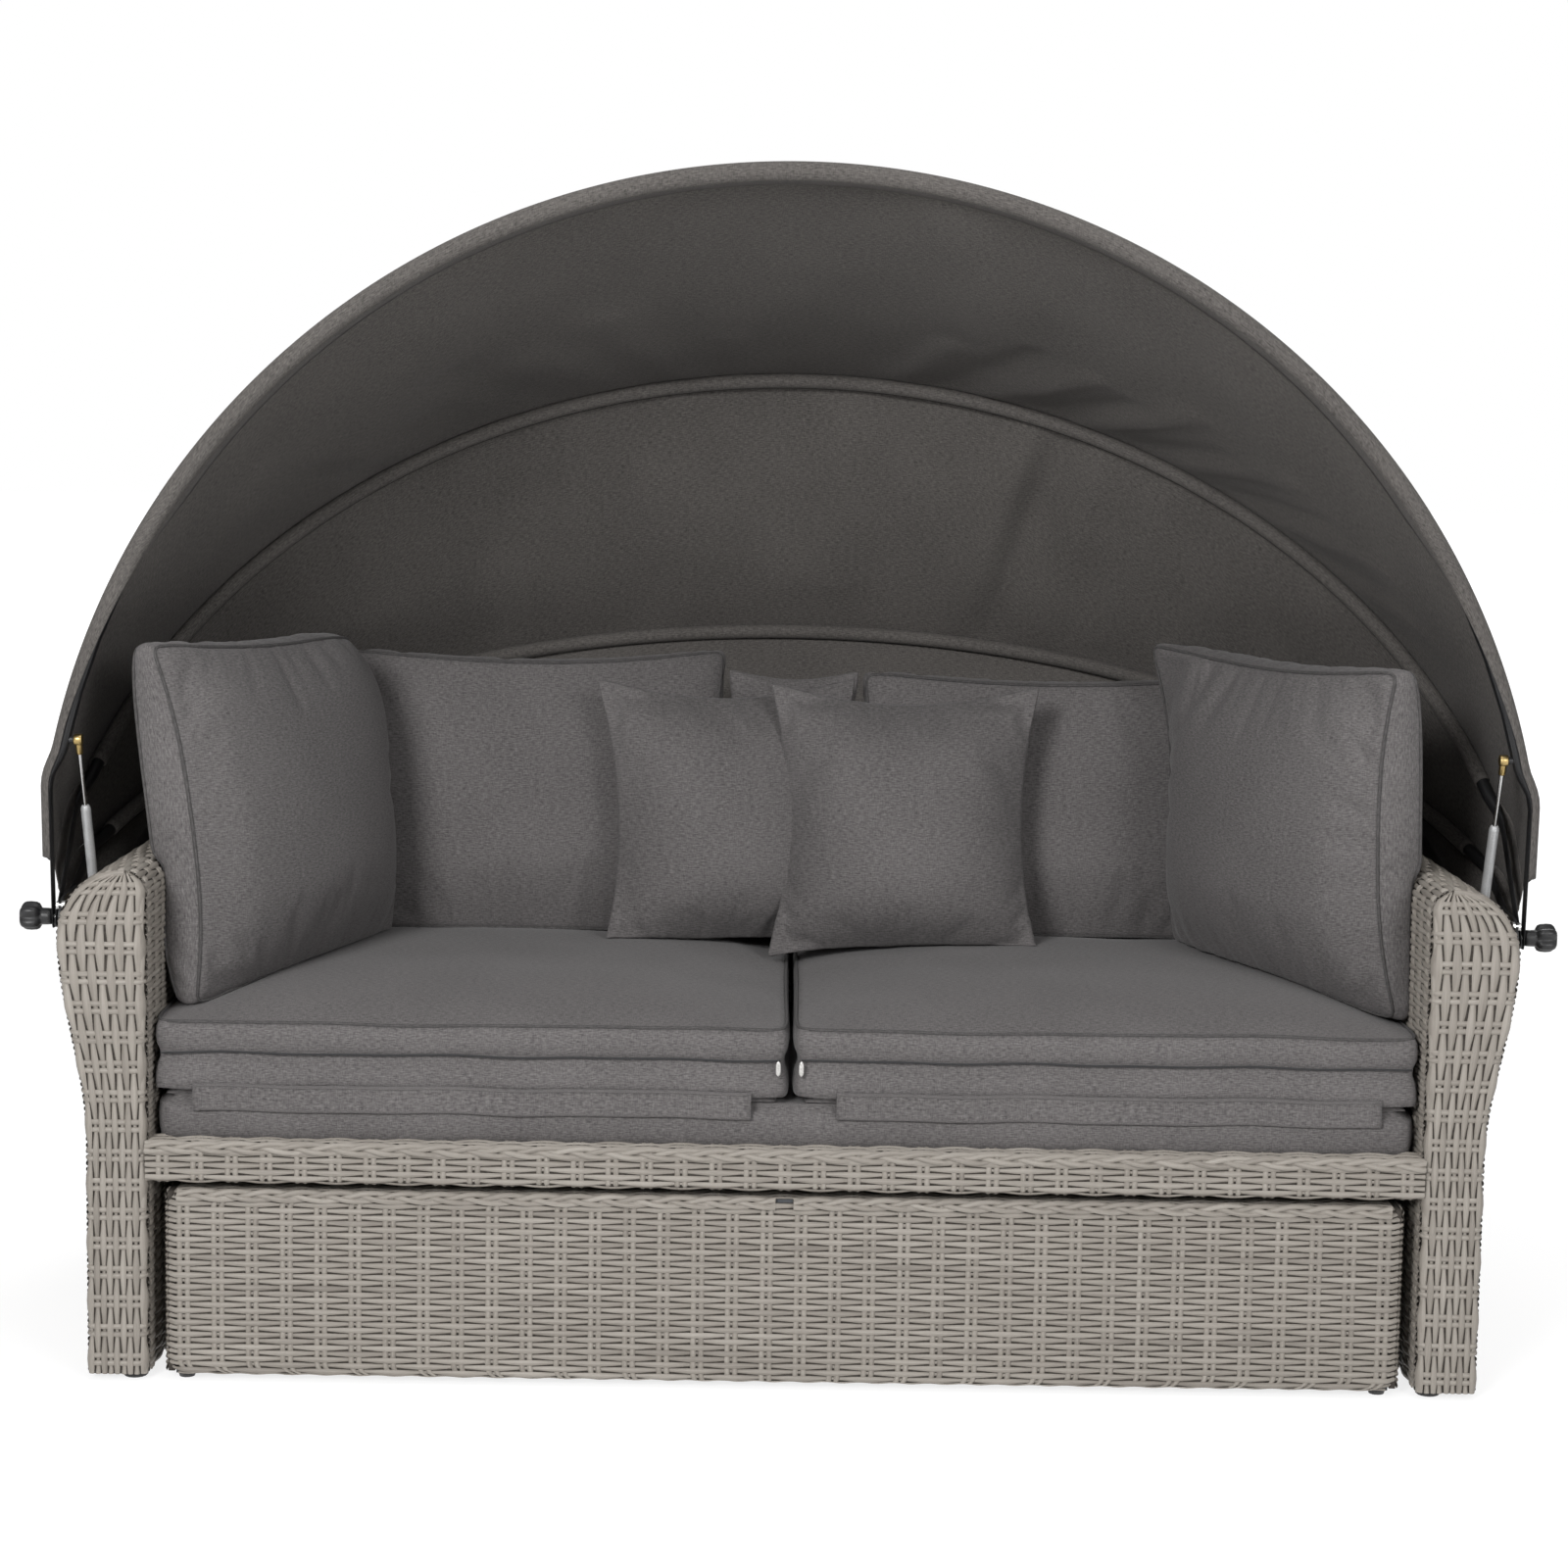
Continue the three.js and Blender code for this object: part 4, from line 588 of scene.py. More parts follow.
def box_cushion(length, width, boxing, crown, under, fullness, pull, step, wall, pinch=0.0):
    """A cushion about its own middle. Both faces are grids in u and v from -1 to 1 whose edges are drawn in by
    pull between the corners; each rises by crown times (1 - |u|^fullness)(1 - |v|^fullness). A wall of rings
    joins their edges, standing out by wall(level); it is narrower by pinch at the corners and as much wider
    between them. Without boxing both faces share one edge.
    Returns points, faces, corner UVs in metres, and the indices of the upper and lower seams."""
    n, m = round(length / step) + 1, round(width / step) + 1
    u, v = np.meshgrid(np.linspace(-1, 1, n), np.linspace(-1, 1, m), indexing="ij")
    rounded = 1 - 0.02 * (u * v) ** 14
    x = u * (length / 2 - pull * (1 - v * v) * np.abs(u) ** 2) * rounded
    y = v * (width / 2 - pull * (1 - u * u) * np.abs(v) ** 2) * rounded
    dome = (1 - np.abs(u) ** fullness) * (1 - np.abs(v) ** fullness)
    edge_half = boxing / 2 * (1 + pinch * (1 - 2 * np.abs(u * v) ** 3))
    upper = np.stack([x, y, edge_half + crown * dome], -1).reshape(-1, 3)
    lower = np.stack([x, y, -edge_half - under * dome], -1).reshape(-1, 3)
    rim = rim_of(n, m)
    across = grid_faces(n, m)
    points, faces = [upper, lower], [across[:, ::-1], across + n * m]
    flat = np.stack([x, y], -1).reshape(-1, 2)
    corner_uv = [flat[across[:, ::-1]], flat[across]]
    seams = rim[:-1], rim[:-1] + n * m
    if boxing:
        edge = upper[rim[:-1]]
        tangent = np.roll(edge, -1, 0) - np.roll(edge, 1, 0)
        out = unit(np.stack([-tangent[:, 1], tangent[:, 0], np.zeros(len(edge))], 1))
        levels = np.linspace(0, 1, len(wall) + 2)
        rings = [rim]
        for level, stand in zip(levels[1:-1], wall):
            ring = edge + out * stand
            ring[:, 2] = edge[:, 2] * (1 - 2 * level)
            start = sum(map(len, points))
            points.append(ring)
            rings.append(np.append(np.arange(len(edge)) + start, start))
        rings.append(rim + n * m)
        rings = np.stack(rings)
        cells = grid_faces(len(rings), len(rim))
        faces.append(rings.ravel()[cells])
        wall_uv = stacked(lengths(upper[rim], 0)[None], levels[:, None] * boxing).reshape(-1, 2)
        corner_uv.append(wall_uv[cells])
    points, faces = np.concatenate(points), np.concatenate(faces)
    if not boxing:
        merged = np.arange(len(points))
        merged[seams[1]] = seams[0]
        used, faces = np.unique(merged[faces], return_inverse=True)
        place = np.searchsorted(used, seams[0])
        return points[used], faces.reshape(-1, 4), np.concatenate(corner_uv), (place, place)
    return points, faces, np.concatenate(corner_uv), seams


def piping(name, line, radius, finish):
    """A cord sewn into a closed seam: eight points round each of its points, the first away from the middle."""
    rings = rings_round(line, np.roll(line, -1, 0) - np.roll(line, 1, 0), line - line.mean(0), radius, 8, -1)
    index = np.arange(len(line) * 8).reshape(-1, 8)
    closed = np.concatenate([index, index[:1]])
    closed = np.concatenate([closed, closed[:, :1]], 1)
    cells = grid_faces(*closed.shape)
    run = lengths(np.concatenate([line, line[:1]]), 0)
    uv = stacked(run[:, None], np.linspace(0, 2 * math.pi * radius, 9)[None])
    return mesh_piece(name, rings, closed.ravel()[cells][:, ::-1], finish, uv.reshape(-1, 2)[cells[:, ::-1]])


def on_line(at, run, values):
    """Values of a line's points, such as their places, at distances along it that may lie between them."""
    return np.stack([np.interp(at, run, values[:, i]) for i in range(3)], -1)


def even(line, step):
    """A closed line with its points spread at even steps, smoothed a little."""
    closed = np.concatenate([line, line[:1]])
    run = lengths(closed, 0)
    at = np.linspace(0, run[-1], round(run[-1] / step), endpoint=False)
    spread = on_line(at, run, closed)
    for _ in range(2):
        spread = spread * 0.5 + (np.roll(spread, 1, 0) + np.roll(spread, -1, 0)) * 0.25
    return spread


def seat_top(x, y):
    """Height of the toppers: their seam's, plus the crown times (1 - |u|^4)(1 - |v|^4)."""
    half = np.where(x > SPLIT_X, SEAT_X - SPLIT_X, SEAT_X + SPLIT_X) / 2
    middle = np.where(x > SPLIT_X, SPLIT_X + half, SPLIT_X - half)
    u = np.clip((x - middle) / half, -1, 1)
    v = np.clip((y - (SEAT_FRONT + SEAT_REAR) / 2) / ((SEAT_REAR - SEAT_FRONT) / 2), -1, 1)
    return SEAM_Z + CROWN * (1 - np.abs(u) ** 4) * (1 - np.abs(v) ** 4)


def on_seat(name, node, x0, x1, z0, boxing, crown, wall, seed):
    """A seat cushion in its place, with long shallow waves in its cloth. One seam has piping; the other, where
    base and toppers meet, is tucked in by 14 mm."""
    points, faces, uv, seams = box_cushion(x1 - x0, SEAT_REAR - SEAT_FRONT, boxing, crown, 0, 4, 0.003, 0.012,
                                           wall)
    phase = np.random.default_rng(seed).uniform(0, 6.28, 6)
    waves = sum(np.sin(points[:, 0] * a + points[:, 1] * b + p) * size for a, b, p, size in (
        (11, 5, phase[0], 1.2), (23, -9, phase[1], 0.7), (37, 21, phase[2], 0.4), (7, 31, phase[3], 0.5)))
    points[:, 2] += 0.0009 * waves * (points[:, 2] > -boxing * 0.45)
    points[:, 1] += 0.0006 * np.sin(points[:, 0] * 31 + phase[4])
    tucked = seams[0] if name == "base_pad" else seams[1]
    points[tucked, :2] *= 1 - 0.014 / np.abs(points[tucked, :2]).max(0)
    points[tucked, 2] *= 0.90
    points += np.array([(x0 + x1) / 2, (SEAT_FRONT + SEAT_REAR) / 2, z0 + boxing / 2])
    pad = mesh_piece(name, points, faces, cushion_cloth, uv)
    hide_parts(node)
    corded = seams[1] if name == "base_pad" else seams[0]
    line = even(points[corded], 0.012) + np.array([0, 0, 0.0008])
    for part in (pad, piping(f"{name}_piping", line, PIPING_R, shaded_piping_cloth)):
        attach(part, "sofa")


topper_wall = [0.0035, 0.0045, 0.003, -0.0015, -0.002, 0.002, 0.004, 0.005, 0.004]
for name, node, x0, x1 in (("left_topper", "top_cushion_left", -SEAT_X, SPLIT_X - 0.005),
                           ("right_topper", "top_cushion_right", SPLIT_X + 0.005, SEAT_X)):
    on_seat(name, node, x0, x1, TOPPER_Z, SEAM_Z - TOPPER_Z, CROWN, topper_wall, len(name))
on_seat("base_pad", "base_cushion", -SEAT_X, SEAT_X, 0.3243, 0.061, 0, [0.002, 0.004, 0.004, 0.003], 3)


def hung_band(name, x0, x1, z0, z1, y, thick, finish):
    """A flat band along X: a long oval section of 12 points, and a slight wave in and out along it."""
    turn = full_turn(12)
    along = np.linspace(x0, x1, 60)[:, None]
    high = (z0 + z1) / 2 + (z1 - z0) / 2 * np.sign(np.sin(turn)) * np.abs(np.sin(turn)) ** 0.4
    deep = y + thick / 2 * np.sign(np.cos(turn)) * np.abs(np.cos(turn)) ** 0.4
    wave = 0.0007 * np.sin(along * 23) + 0.0005 * np.sin(along * 41 + 1)
    return strip(name, stacked(along, deep[None] + wave, high[None] + wave), finish)


bands = []
for word, x0, x1 in (("left", -0.797, -0.047), ("right", 0.068, 0.800)):
    bands += [(f"{word}_flap", x0, x1, 0.366, 0.4035, 0.0058, 0.0035, cushion_cloth),
              (f"{word}_flap_stitch_ridge", x0 + 0.004, x1 - 0.004, 0.3995, 0.402, 0.0085, 0.0018,
               cushion_cloth)]
for word, x0, x1 in (("left", -SEAT_X + 0.012, SPLIT_X - 0.014), ("right", SPLIT_X + 0.014, SEAT_X - 0.012)):
    bands.append((f"{word}_zip_line", x0, x1, 0.4440, 0.4466, 0.0004, 0.004, zip_tape))
for name, x0, x1, z0, z1, ahead, thick, finish in bands:
    part = hung_band(name, x0, x1, z0, z1, SEAT_FRONT - ahead, thick, finish)
    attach(part, "sofa")

zip_metal = Finish("zip_pull_metal", Metallic=1.0)
scuffs = zip_metal.noise(500.0)
zip_metal.colour(scuffs, (0.3, (0.50, 0.49, 0.47)), (0.7, (0.72, 0.71, 0.69)))
zip_metal.feed("Roughness", 0.28 + scuffs * 0.15)
drop = np.linspace(0, 1, 9)[:, None]
half_width = 0.0034 * np.sqrt(np.clip(1 - np.abs(2 * drop - 1) ** 5, 0.04, 1))
turn = full_turn(12)
for name, x in (("left_zip_pull", SPLIT_X - 0.017), ("right_zip_pull", SPLIT_X + 0.014)):
    pull = strip(name, stacked(x + half_width * np.cos(turn), SEAT_FRONT - 0.0062 + 0.0011 * np.sin(turn),
                               0.446 - 0.021 * drop), zip_metal)
    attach(pull, "sofa")

# Loose cushions.
# Fibre-filled cushions, four large and boxed, three small with one seam. They stand on the seat
# and lean on the arms, the back and each other; their covers pucker along the piping.
STAND_LIFT = 0.008
LARGE = 0.596
PILLOW = 0.43
ARM_TOP = 0.690
BETWEEN_ARMS = 0.8545  # half the room for the covers
BACK_FACE = FRONT + 0.819


def placed(points, x, y, yaw, lean, height):
    """Stands a cushion on the seat, its foot at x and y: its length runs along yaw, its width up and back by
    lean."""
    turn, tip = math.radians(yaw), math.radians(lean)
    along = np.array([math.cos(turn), math.sin(turn), 0])
    up = np.array([-math.sin(turn) * math.sin(tip), math.cos(turn) * math.sin(tip), math.cos(tip)])
    foot = np.array([x, y, SEAM_Z + STAND_LIFT])
    return foot + points @ np.stack([along, up, np.cross(along, up)]) + up * height / 2


def settled(points, length, height, sag):
    """The filling sinks: the middle of both faces moves down by sag, most in the lower half."""
    u, v = points[:, 0] / length * 2, points[:, 1] / height * 2
    inner = np.clip(1 - u * u, 0, 1) * np.clip(1 - v * v, 0, 1)
    points[:, 1] -= sag * inner * (1 - 0.5 * v)
    points[:, 2] *= 1 - 0.30 * v * inner
    return points


def big(x, rear, yaw, lean, height, ear=(0, 0), tip=(0, 0), crown=0.028):
    """A large cushion, its faces filled out by crown in the middle. The upper corner at its far end is pushed
    sideways and down by ear, in proportion to both shares squared; the near end leans sideways, by tip at its
    top and at its foot."""
    points, faces, uv, seams = box_cushion(LARGE, height, 0.046, crown, crown, 2.2, 0.017, 0.0115,
                                           [0.003, 0.005, 0.005, 0.003], 0.45)
    points = settled(points, LARGE, height, 0.018)
    share = (np.clip(points[:, 0] / LARGE * 2.6 - 0.3, 0, 1) ** 2
             * np.clip(points[:, 1] / height * 2.4 - 0.2, 0, 1) ** 2)
    rise = np.clip(points[:, 1] / height + 0.5, 0, 1)
    near = np.clip(0.35 - points[:, 0] / LARGE * 1.3, 0, 1)
    points[:, 2] += ear[0] * share + near * (tip[0] * rise + tip[1] * (1 - rise))
    points[:, 1] -= ear[1] * share
    return placed(points, x, SEAT_REAR - rear, yaw, lean, height), faces, uv, seams


def small(x, rear, yaw, lean, thick, width):
    """A small pillow with one seam: pulled in along its sides, pointed at its corners."""
    points, faces, uv, seams = box_cushion(width, PILLOW, 0, thick * 0.95, thick * 0.55, 2.3, width * 0.075,
                                           0.0105, [])
    points = settled(points, width, PILLOW, 0.022)
    return placed(points, x, SEAT_REAR - rear, yaw, lean, PILLOW), faces, uv, seams


def mirrored(shape):
    """A cushion with its X reversed, and its faces turned over to look outwards again."""
    points, faces, uv, seams = shape
    return points * np.array([-1, 1, 1]), faces[:, ::-1], uv.reshape(-1, 4, 2)[:, ::-1].reshape(-1, 2), seams


loose = {
    "side_cushion_left": mirrored(big(SEAT_X - 0.129, 0.432, 109, -3.5, 0.496, ear=(0.045, 0.035),
                                      tip=(0.036, 0.0), crown=0.044)),
    "side_cushion_right": big(SEAT_X - 0.138, 0.424, 110, 1, 0.482, ear=(-0.052, 0.0), tip=(0.026, 0.034),
                              crown=0.044),
    "back_cushion_left": big(0.004 - 0.407, 0.082, 0, 8, 0.448, ear=(-0.06, -0.012)),
    "back_cushion_right": big(0.004 + 0.407, 0.082, 0, 8, 0.424),
    "throw_pillow_left": small(-0.080, 0.207, 12, 12, 0.092, 0.418),
    "throw_pillow_middle": small(0.174, 0.272, 0, 13, 0.104, 0.422),
    "throw_pillow_squeezed": small(0.004, 0.069, 0, 6, 0.07, 0.2138),
}
covers = {}
for node, (points, faces, uv, seams) in loose.items():
    cover = mesh_piece(node + "_cover", points, faces, cushion_cloth, uv)
    sewn = cover.vertex_groups.new(name="seam")
    sewn.add(np.unique(np.concatenate(seams)).tolist(), 1.0, "REPLACE")
    covers[node] = cover

for cover in covers.values():
    cloth = cover.modifiers.new("stuffing", "CLOTH")
    cloth.settings.quality = 5
    cloth.settings.mass = 0.3
    cloth.settings.tension_stiffness = 20
    cloth.settings.compression_stiffness = 12
    cloth.settings.shear_stiffness = 4
    cloth.settings.bending_stiffness = 0.4
    cloth.settings.use_pressure = True
    cloth.settings.uniform_pressure_force = 4
    cloth.settings.shrink_min = -0.035
    cloth.settings.vertex_group_mass = "seam"
    cloth.settings.pin_stiffness = 1
    cloth.settings.effector_weights.gravity = 0
    cloth.point_cache.frame_end = 25
for frame_number in range(1, 21):
    bpy.context.scene.frame_set(frame_number)


CAP = 0.02  # the furthest that a point may move


def stuffed(cover, start):
    """The simulated cover, no point further than CAP from where it started."""
    if not cover.modifiers:
        return start.copy()
    solved = cover.evaluated_get(bpy.context.evaluated_depsgraph_get()).data
    found = np.empty(len(start) * 3, np.float32)
    solved.vertices.foreach_get("co", found)
    moved = found.reshape(-1, 3) - start
    far = np.maximum(np.linalg.norm(moved, axis=1, keepdims=True), 1e-9)
    return start + moved * np.minimum(1, CAP / far)


for node, cover in covers.items():
    start, _, _, seams = loose[node]
    full = stuffed(cover, start)
    cover.modifiers.clear()
    floor_height = seat_top(full[:, 0], full[:, 1]) + 0.002
    full[:, 2] = np.maximum(full[:, 2], floor_height)
    inside = full[:, 2] < ARM_TOP
    full[:, 0] = np.where(inside, np.clip(full[:, 0], -BETWEEN_ARMS, BETWEEN_ARMS), full[:, 0])
    full[:, 1] = np.where(inside, np.minimum(full[:, 1], BACK_FACE), full[:, 1])
    cover.data.vertices.foreach_set("co", full.astype(np.float32).ravel())
    cover.data.update()
    smooth = cover.modifiers.new("smooth", "SUBSURF")
    smooth.levels = smooth.render_levels = 1
    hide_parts(node)
    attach(cover, "sofa")
    for i, loop in enumerate(seams if node.startswith(("side", "back")) else []):
        cord = piping(f"{node}_piping_{i + 1}", even(full[loop], 0.009), PIPING_R, shaded_piping_cloth)
        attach(cord, "sofa")

# Woven skin of the sofa.
# Flat resin strands with a half-round face, dyed in streaks of grey and sand, woven over and
# under pairs of stakes on the tube frame. A dark sheet behind them is painted shade, seen in their gaps.
STRAND = 0.0083  # from one strand to the next
PAIR = 0.0465  # from one pair of stakes to the next
HALF = 0.857  # from the middle to an arm's inner side
LEG = 0.078
GROUND = 0.0086

strand_resin = Finish("streaked_resin", Specular_IOR_Level=0.4)
run_of_strand = strand_resin.node("UVMap", {"uv_map": "strand"})


def along_strand(scale, detail):
    """Noise drawn out along the strands, by its scale along and across them."""
    laid = strand_resin.node("Mapping", {}, {"Vector": run_of_strand, "Scale": (*scale, 1)})
    return strand_resin.node("TexNoise", {}, {"Vector": laid, "Scale": 1.0, "Detail": detail})


streak = along_strand((26, 9), 3.0)
strand_resin.colour(along_strand((3.2, 0.93), 1.0) * 0.62 + streak * 0.38, (0.28, (0.185, 0.165, 0.144)),
                    (0.48, (0.275, 0.250, 0.220)), (0.72, (0.360, 0.331, 0.296)))
strand_resin.feed("Roughness", 0.42 + streak * 0.2)
strand_resin.bump(streak, 0.0003, 0.4)

# Painted shade: a near-black sheet in place of the shaded hollow behind the weave.
shade_sheet_finish = Finish("painted_shade_sheet", Roughness=0.9)
shade_sheet_finish.colour(shade_sheet_finish.noise(240.0), (0.3, (0.030, 0.025, 0.021)), (0.7, (0.070, 0.060, 0.050)))


def looks_along(points, faces, out):
    """Whether faces look, on the whole, along the outward normals at their first corners."""
    a, b, d = (points[faces[:, k]] for k in (0, 1, 3))
    return np.mean(np.sum(np.cross(b - a, d - a) * out[faces[:, 0]], 1)) > 0


def ribbons(place, s, t, height, width, number):
    """Half-round strips: rows of points along s about each t, five points across. place(s, t) gives points and
    normals; a strip's line stands out by height, its middle 1 mm more and its edges 1.4 mm less.
    Returns points, faces and corner UVs of (length, strand number)."""
    across = np.array([-0.5, -0.32, 0, 0.32, 0.5])
    dome = np.array([-0.0014, 0.0004, 0.0010, 0.0004, -0.0014])
    rows, columns = s.shape
    tt = t[..., None] + across * width[..., None]
    points, normal = place(np.broadcast_to(s[..., None], tt.shape), tt)
    points = points + normal * (height[..., None] + dome)[..., None]
    base = (np.arange(rows)[:, None] * columns + np.arange(columns - 1)[None]) * 5
    quad = base[..., None] + np.arange(4)
    faces = np.stack([quad, quad + 5, quad + 6, quad + 1], -1).reshape(-1, 4)
    points = points.reshape(-1, 3)
    if not looks_along(points, faces, np.reshape(normal, (-1, 3))):
        faces = faces[:, ::-1]
    uv = stacked(s[..., None], number[:, None, None] * 1.37 + across * 0.5).reshape(-1, 2)
    return points, faces, uv[faces].reshape(-1, 2)


def backing(place, length, breadth):
    """A closed dark sheet under a woven patch, from 0.6 mm to 9 mm below its surface: painted shade for its
    gaps.
    """
    s, t = np.meshgrid(np.linspace(0, length, 50), np.linspace(0, breadth, 70))
    where, out = place(s, t)
    count = s.size
    points = np.concatenate([(where - out * 0.0006).reshape(-1, 3), (where - out * 0.009).reshape(-1, 3)])
    ring = rim_of(*s.shape)
    rim, after = ring[:-1], ring[1:]
    top = grid_faces(*s.shape)
    faces = np.concatenate([top, top[:, ::-1] + count, np.stack([rim, rim + count, after + count, after], 1)])
    if not looks_along(points, top, out.reshape(-1, 3)):
        faces = faces[:, ::-1]
    return points, faces, None


def weave(place, length, breadth, seed, pair=PAIR, samples=4):
    """A woven patch, length along its strands and breadth across them. A strand's height follows
    cos(pi (s / pair + row)), so it passes over every second pair of stakes; the stakes do the opposite."""
    count = max(1, round(breadth / STRAND))
    step = breadth / count
    pairs = max(1, round(length / pair))
    gap = length / pairs
    s = np.broadcast_to(np.linspace(0, length, pairs * samples + 1), (count, pairs * samples + 1))
    row = np.arange(count)[:, None]
    wave = np.cos(math.pi * (s / gap - 0.5 + row))
    jitter = np.random.default_rng(seed).normal(0, 0.00016, (count, 1))
    strands = ribbons(place, s, (row + 0.5) * step + jitter + 0 * s, 0.0021 + 0.0019 * wave,
                      step * (0.80 + 0.20 * wave), np.arange(count) + seed * 7.0)
    t = np.linspace(0, breadth, count * 2 + 1)
    middle = (np.repeat(np.arange(pairs), 2) + 0.5) * gap + np.tile([-0.0052, 0.0052], pairs)
    over = -np.cos(math.pi * (np.repeat(np.arange(pairs), 2)[:, None] + t / step - 0.5))
    stakes = ribbons(lambda a, b: place(b, a), np.broadcast_to(t, over.shape), middle[:, None] + 0 * over,
                     0.0019 + 0.0013 * over, np.full(over.shape, 0.0074), np.arange(pairs * 2) + 500.0 + seed)
    return [("strands", *strands), ("stakes", *stakes), ("backing", *backing(place, length, breadth))]


def braid(place, length, reach, strands=3, rise=0.0058, stand=0.0028, radius=0.0034):
    """Strands twisted along an edge, once in every reach. Each swings across by rise times the sine of its
    turn, and in and out by stand times the sine of twice that turn."""
    patches = []
    s = np.linspace(0, length, round(length / 0.0077) + 1)[None]
    for k in range(strands):
        turn = 2 * math.pi * (s / reach + k / strands)
        cord = ribbons(place, s, rise * np.sin(turn), 0.0025 + stand * np.sin(2 * turn) + radius * 0.3,
                       np.full(s.shape, radius * 2.1), np.array([900.0 + k]))
        patches.append(("strands", *cord))
    return patches


def joined(patches, kind):
    """Points and faces of all patches of one kind as one mesh, and their corner UVs if they have them."""
    points, faces, uv = zip(*(patch[1:] for patch in patches if patch[0] == kind))
    starts = np.append(0, np.cumsum([len(part) for part in points]))
    faces = np.concatenate([part + start for part, start in zip(faces, starts)])
    return np.concatenate(points), faces, None if uv[0] is None else np.concatenate(uv)


def woven(name, patches, body, covered):
    """Makes a mesh of strands, one of stakes and one of dark sheets of painted shade, which takes the covered
    nodes' place.
    """
    for kind in ("strands", "stakes", "backing"):
        points, faces, uv = joined(patches, kind)
        finish = shade_sheet_finish if kind == "backing" else strand_resin
        part = mesh_piece(f"{name}_{kind}", points, faces, finish, uv, layer="strand")
        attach(part, body)
    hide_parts(*covered)


def flat(origin, along, across, out):
    """Places a patch on a plane, by a corner, the directions of its strands and across them, and outwards."""
    origin, along, across, out = (np.array(v, float) for v in (origin, along, across, out))

    def place(s, t):
        return origin + s[..., None] * along + t[..., None] * across, np.broadcast_to(out, (*s.shape, 3))
    return place


def extruded(line, along, outside):
    """Places a patch on a profile: t runs along the line, s in one direction. outside is +1 or -1."""
    run = lengths(line, 0)
    slope = np.gradient(line, run, axis=0)
    along = np.array(along, float)
    normal = unit(outside * np.cross(along, slope))

    def place(s, t):
        return on_line(t, run, line) + s[..., None] * along, on_line(t, run, normal)
    return place, run[-1]


WIDEST = 0.605
OUTER_ROLL = 0.085
INNER_ROLL = 0.028
ARM_LENGTH = 0.9


def arm_outer(z):
    """Outer outline of an arm: upright, swelling out in an S, then a quarter of an ellipse up to the top."""
    swell = HALF + LEG + 0.037 * smooth_step((z - 0.330) / 0.275)
    rise = np.clip((z - WIDEST) / OUTER_ROLL, 0, 1)
    return np.where(z <= WIDEST, swell, HALF + INNER_ROLL + 0.087 * np.sqrt(1 - rise * rise))


def arm_inner(z):
    """Inner outline of an arm: upright, then a quarter of a circle up to the top."""
    fall = np.clip((z - ARM_TOP + INNER_ROLL) / INNER_ROLL, 0, 1)
    return HALF + INNER_ROLL - INNER_ROLL * np.sqrt(1 - fall * fall)


def arm_end(side, y, out):
    """Places a patch on an arm's upright end: strands run up, spread evenly between its two outlines. Near its
    edges the surface turns back round a quarter circle: 9 mm outside and on top, 14 mm inside."""
    outside, inside = 0.009, 0.014

    def place(s, t):
        z = GROUND + s
        inner, outer = arm_inner(z), arm_outer(z)
        x = inner + (outer - inner) * t / LEG
        turn_in = np.arcsin(np.clip((inner + inside - x) / inside, 0, 1))
        turn_out = np.arcsin(np.clip((x - outer + outside) / outside, 0, 1))
        turn_up = np.arcsin(np.clip((z - ARM_TOP + outside) / outside, 0, 1)) + 0 * x
        back = (inside * (1 - np.cos(turn_in)) + outside * (1 - np.cos(turn_out))
                + outside * (1 - np.cos(turn_up)))
        tilt = np.minimum(turn_out, 1.2) - np.minimum(turn_in, 1.2)
        up = np.sin(np.minimum(turn_up, 1.3))
        flat_share = np.sqrt(1 - up * up)
        normal = np.stack([side * np.sin(tilt) * flat_share, out * np.cos(tilt) * flat_share, up], -1)
        return np.stack([side * x, FRONT + y - out * back, z + 0 * x], -1), normal
    return place


def corner_strand(line, out, waves, number):
    """One strand laid over a corner, facing out, rising and falling by 1 mm as often as it passes a stake."""
    run = lengths(line, 0)
    slope = np.gradient(line, run, axis=0)
    out = unit(np.array(out, float))
    across = unit(np.cross(slope, out))

    def place(s, t):
        middle = on_line(s, run, line)
        return middle + on_line(s, run, across) * t[..., None], np.broadcast_to(out, middle.shape)

    s = np.linspace(0, run[-1], waves * 4 + 1)[None]
    wave = np.cos(math.pi * waves * s / run[-1])
    return "strands", *ribbons(place, s, 0 * s, 0.0012 + 0.0010 * wave, 0.0088 + 0.001 * wave,
                               np.array([number]))


z_up = np.concatenate([np.linspace(GROUND, WIDEST, 60),
                       WIDEST + OUTER_ROLL * np.sin(np.linspace(0.08, math.pi / 2, 14))])
z_down = ARM_TOP - INNER_ROLL + INNER_ROLL * np.cos(np.linspace(0.2, math.pi / 2, 7))
for side, word in ((-1, "left"), (1, "right")):
    line = np.concatenate([stacked(side * across, FRONT + 0.008, z) for across, z in (
        (arm_outer(z_up), z_up), (arm_inner(z_down), z_down), (HALF, np.linspace(0.65, GROUND, 50)))])
    around, breadth = extruded(line, (0, 1, 0), side)
    patches = weave(around, 0.884, breadth, samples=3, seed=1)
    ends = weave(arm_end(side, 0.0, -1), ARM_TOP - GROUND - 0.0004, LEG, pair=0.041, seed=2)
    ends += weave(arm_end(side, ARM_LENGTH, 1), ARM_TOP - GROUND - 0.0004, LEG, pair=0.041, seed=3)
    for y, out in ((0.0045, -1), (0.8955, 1)):
        edge = stacked(side * (arm_outer(z_up) - 0.003), FRONT + y, z_up)
        ends.append(corner_strand(edge, (side, out, 0), 17, 40.0))
        edge = stacked(side * (HALF + 0.003), FRONT + y, np.linspace(GROUND, ARM_TOP - 0.03, 60))
        ends.append(corner_strand(edge, (-side, out, 0), 16, 41.0))
    woven(f"{word}_arm", patches + ends, "sofa", [f"arm_weave_{word}"])

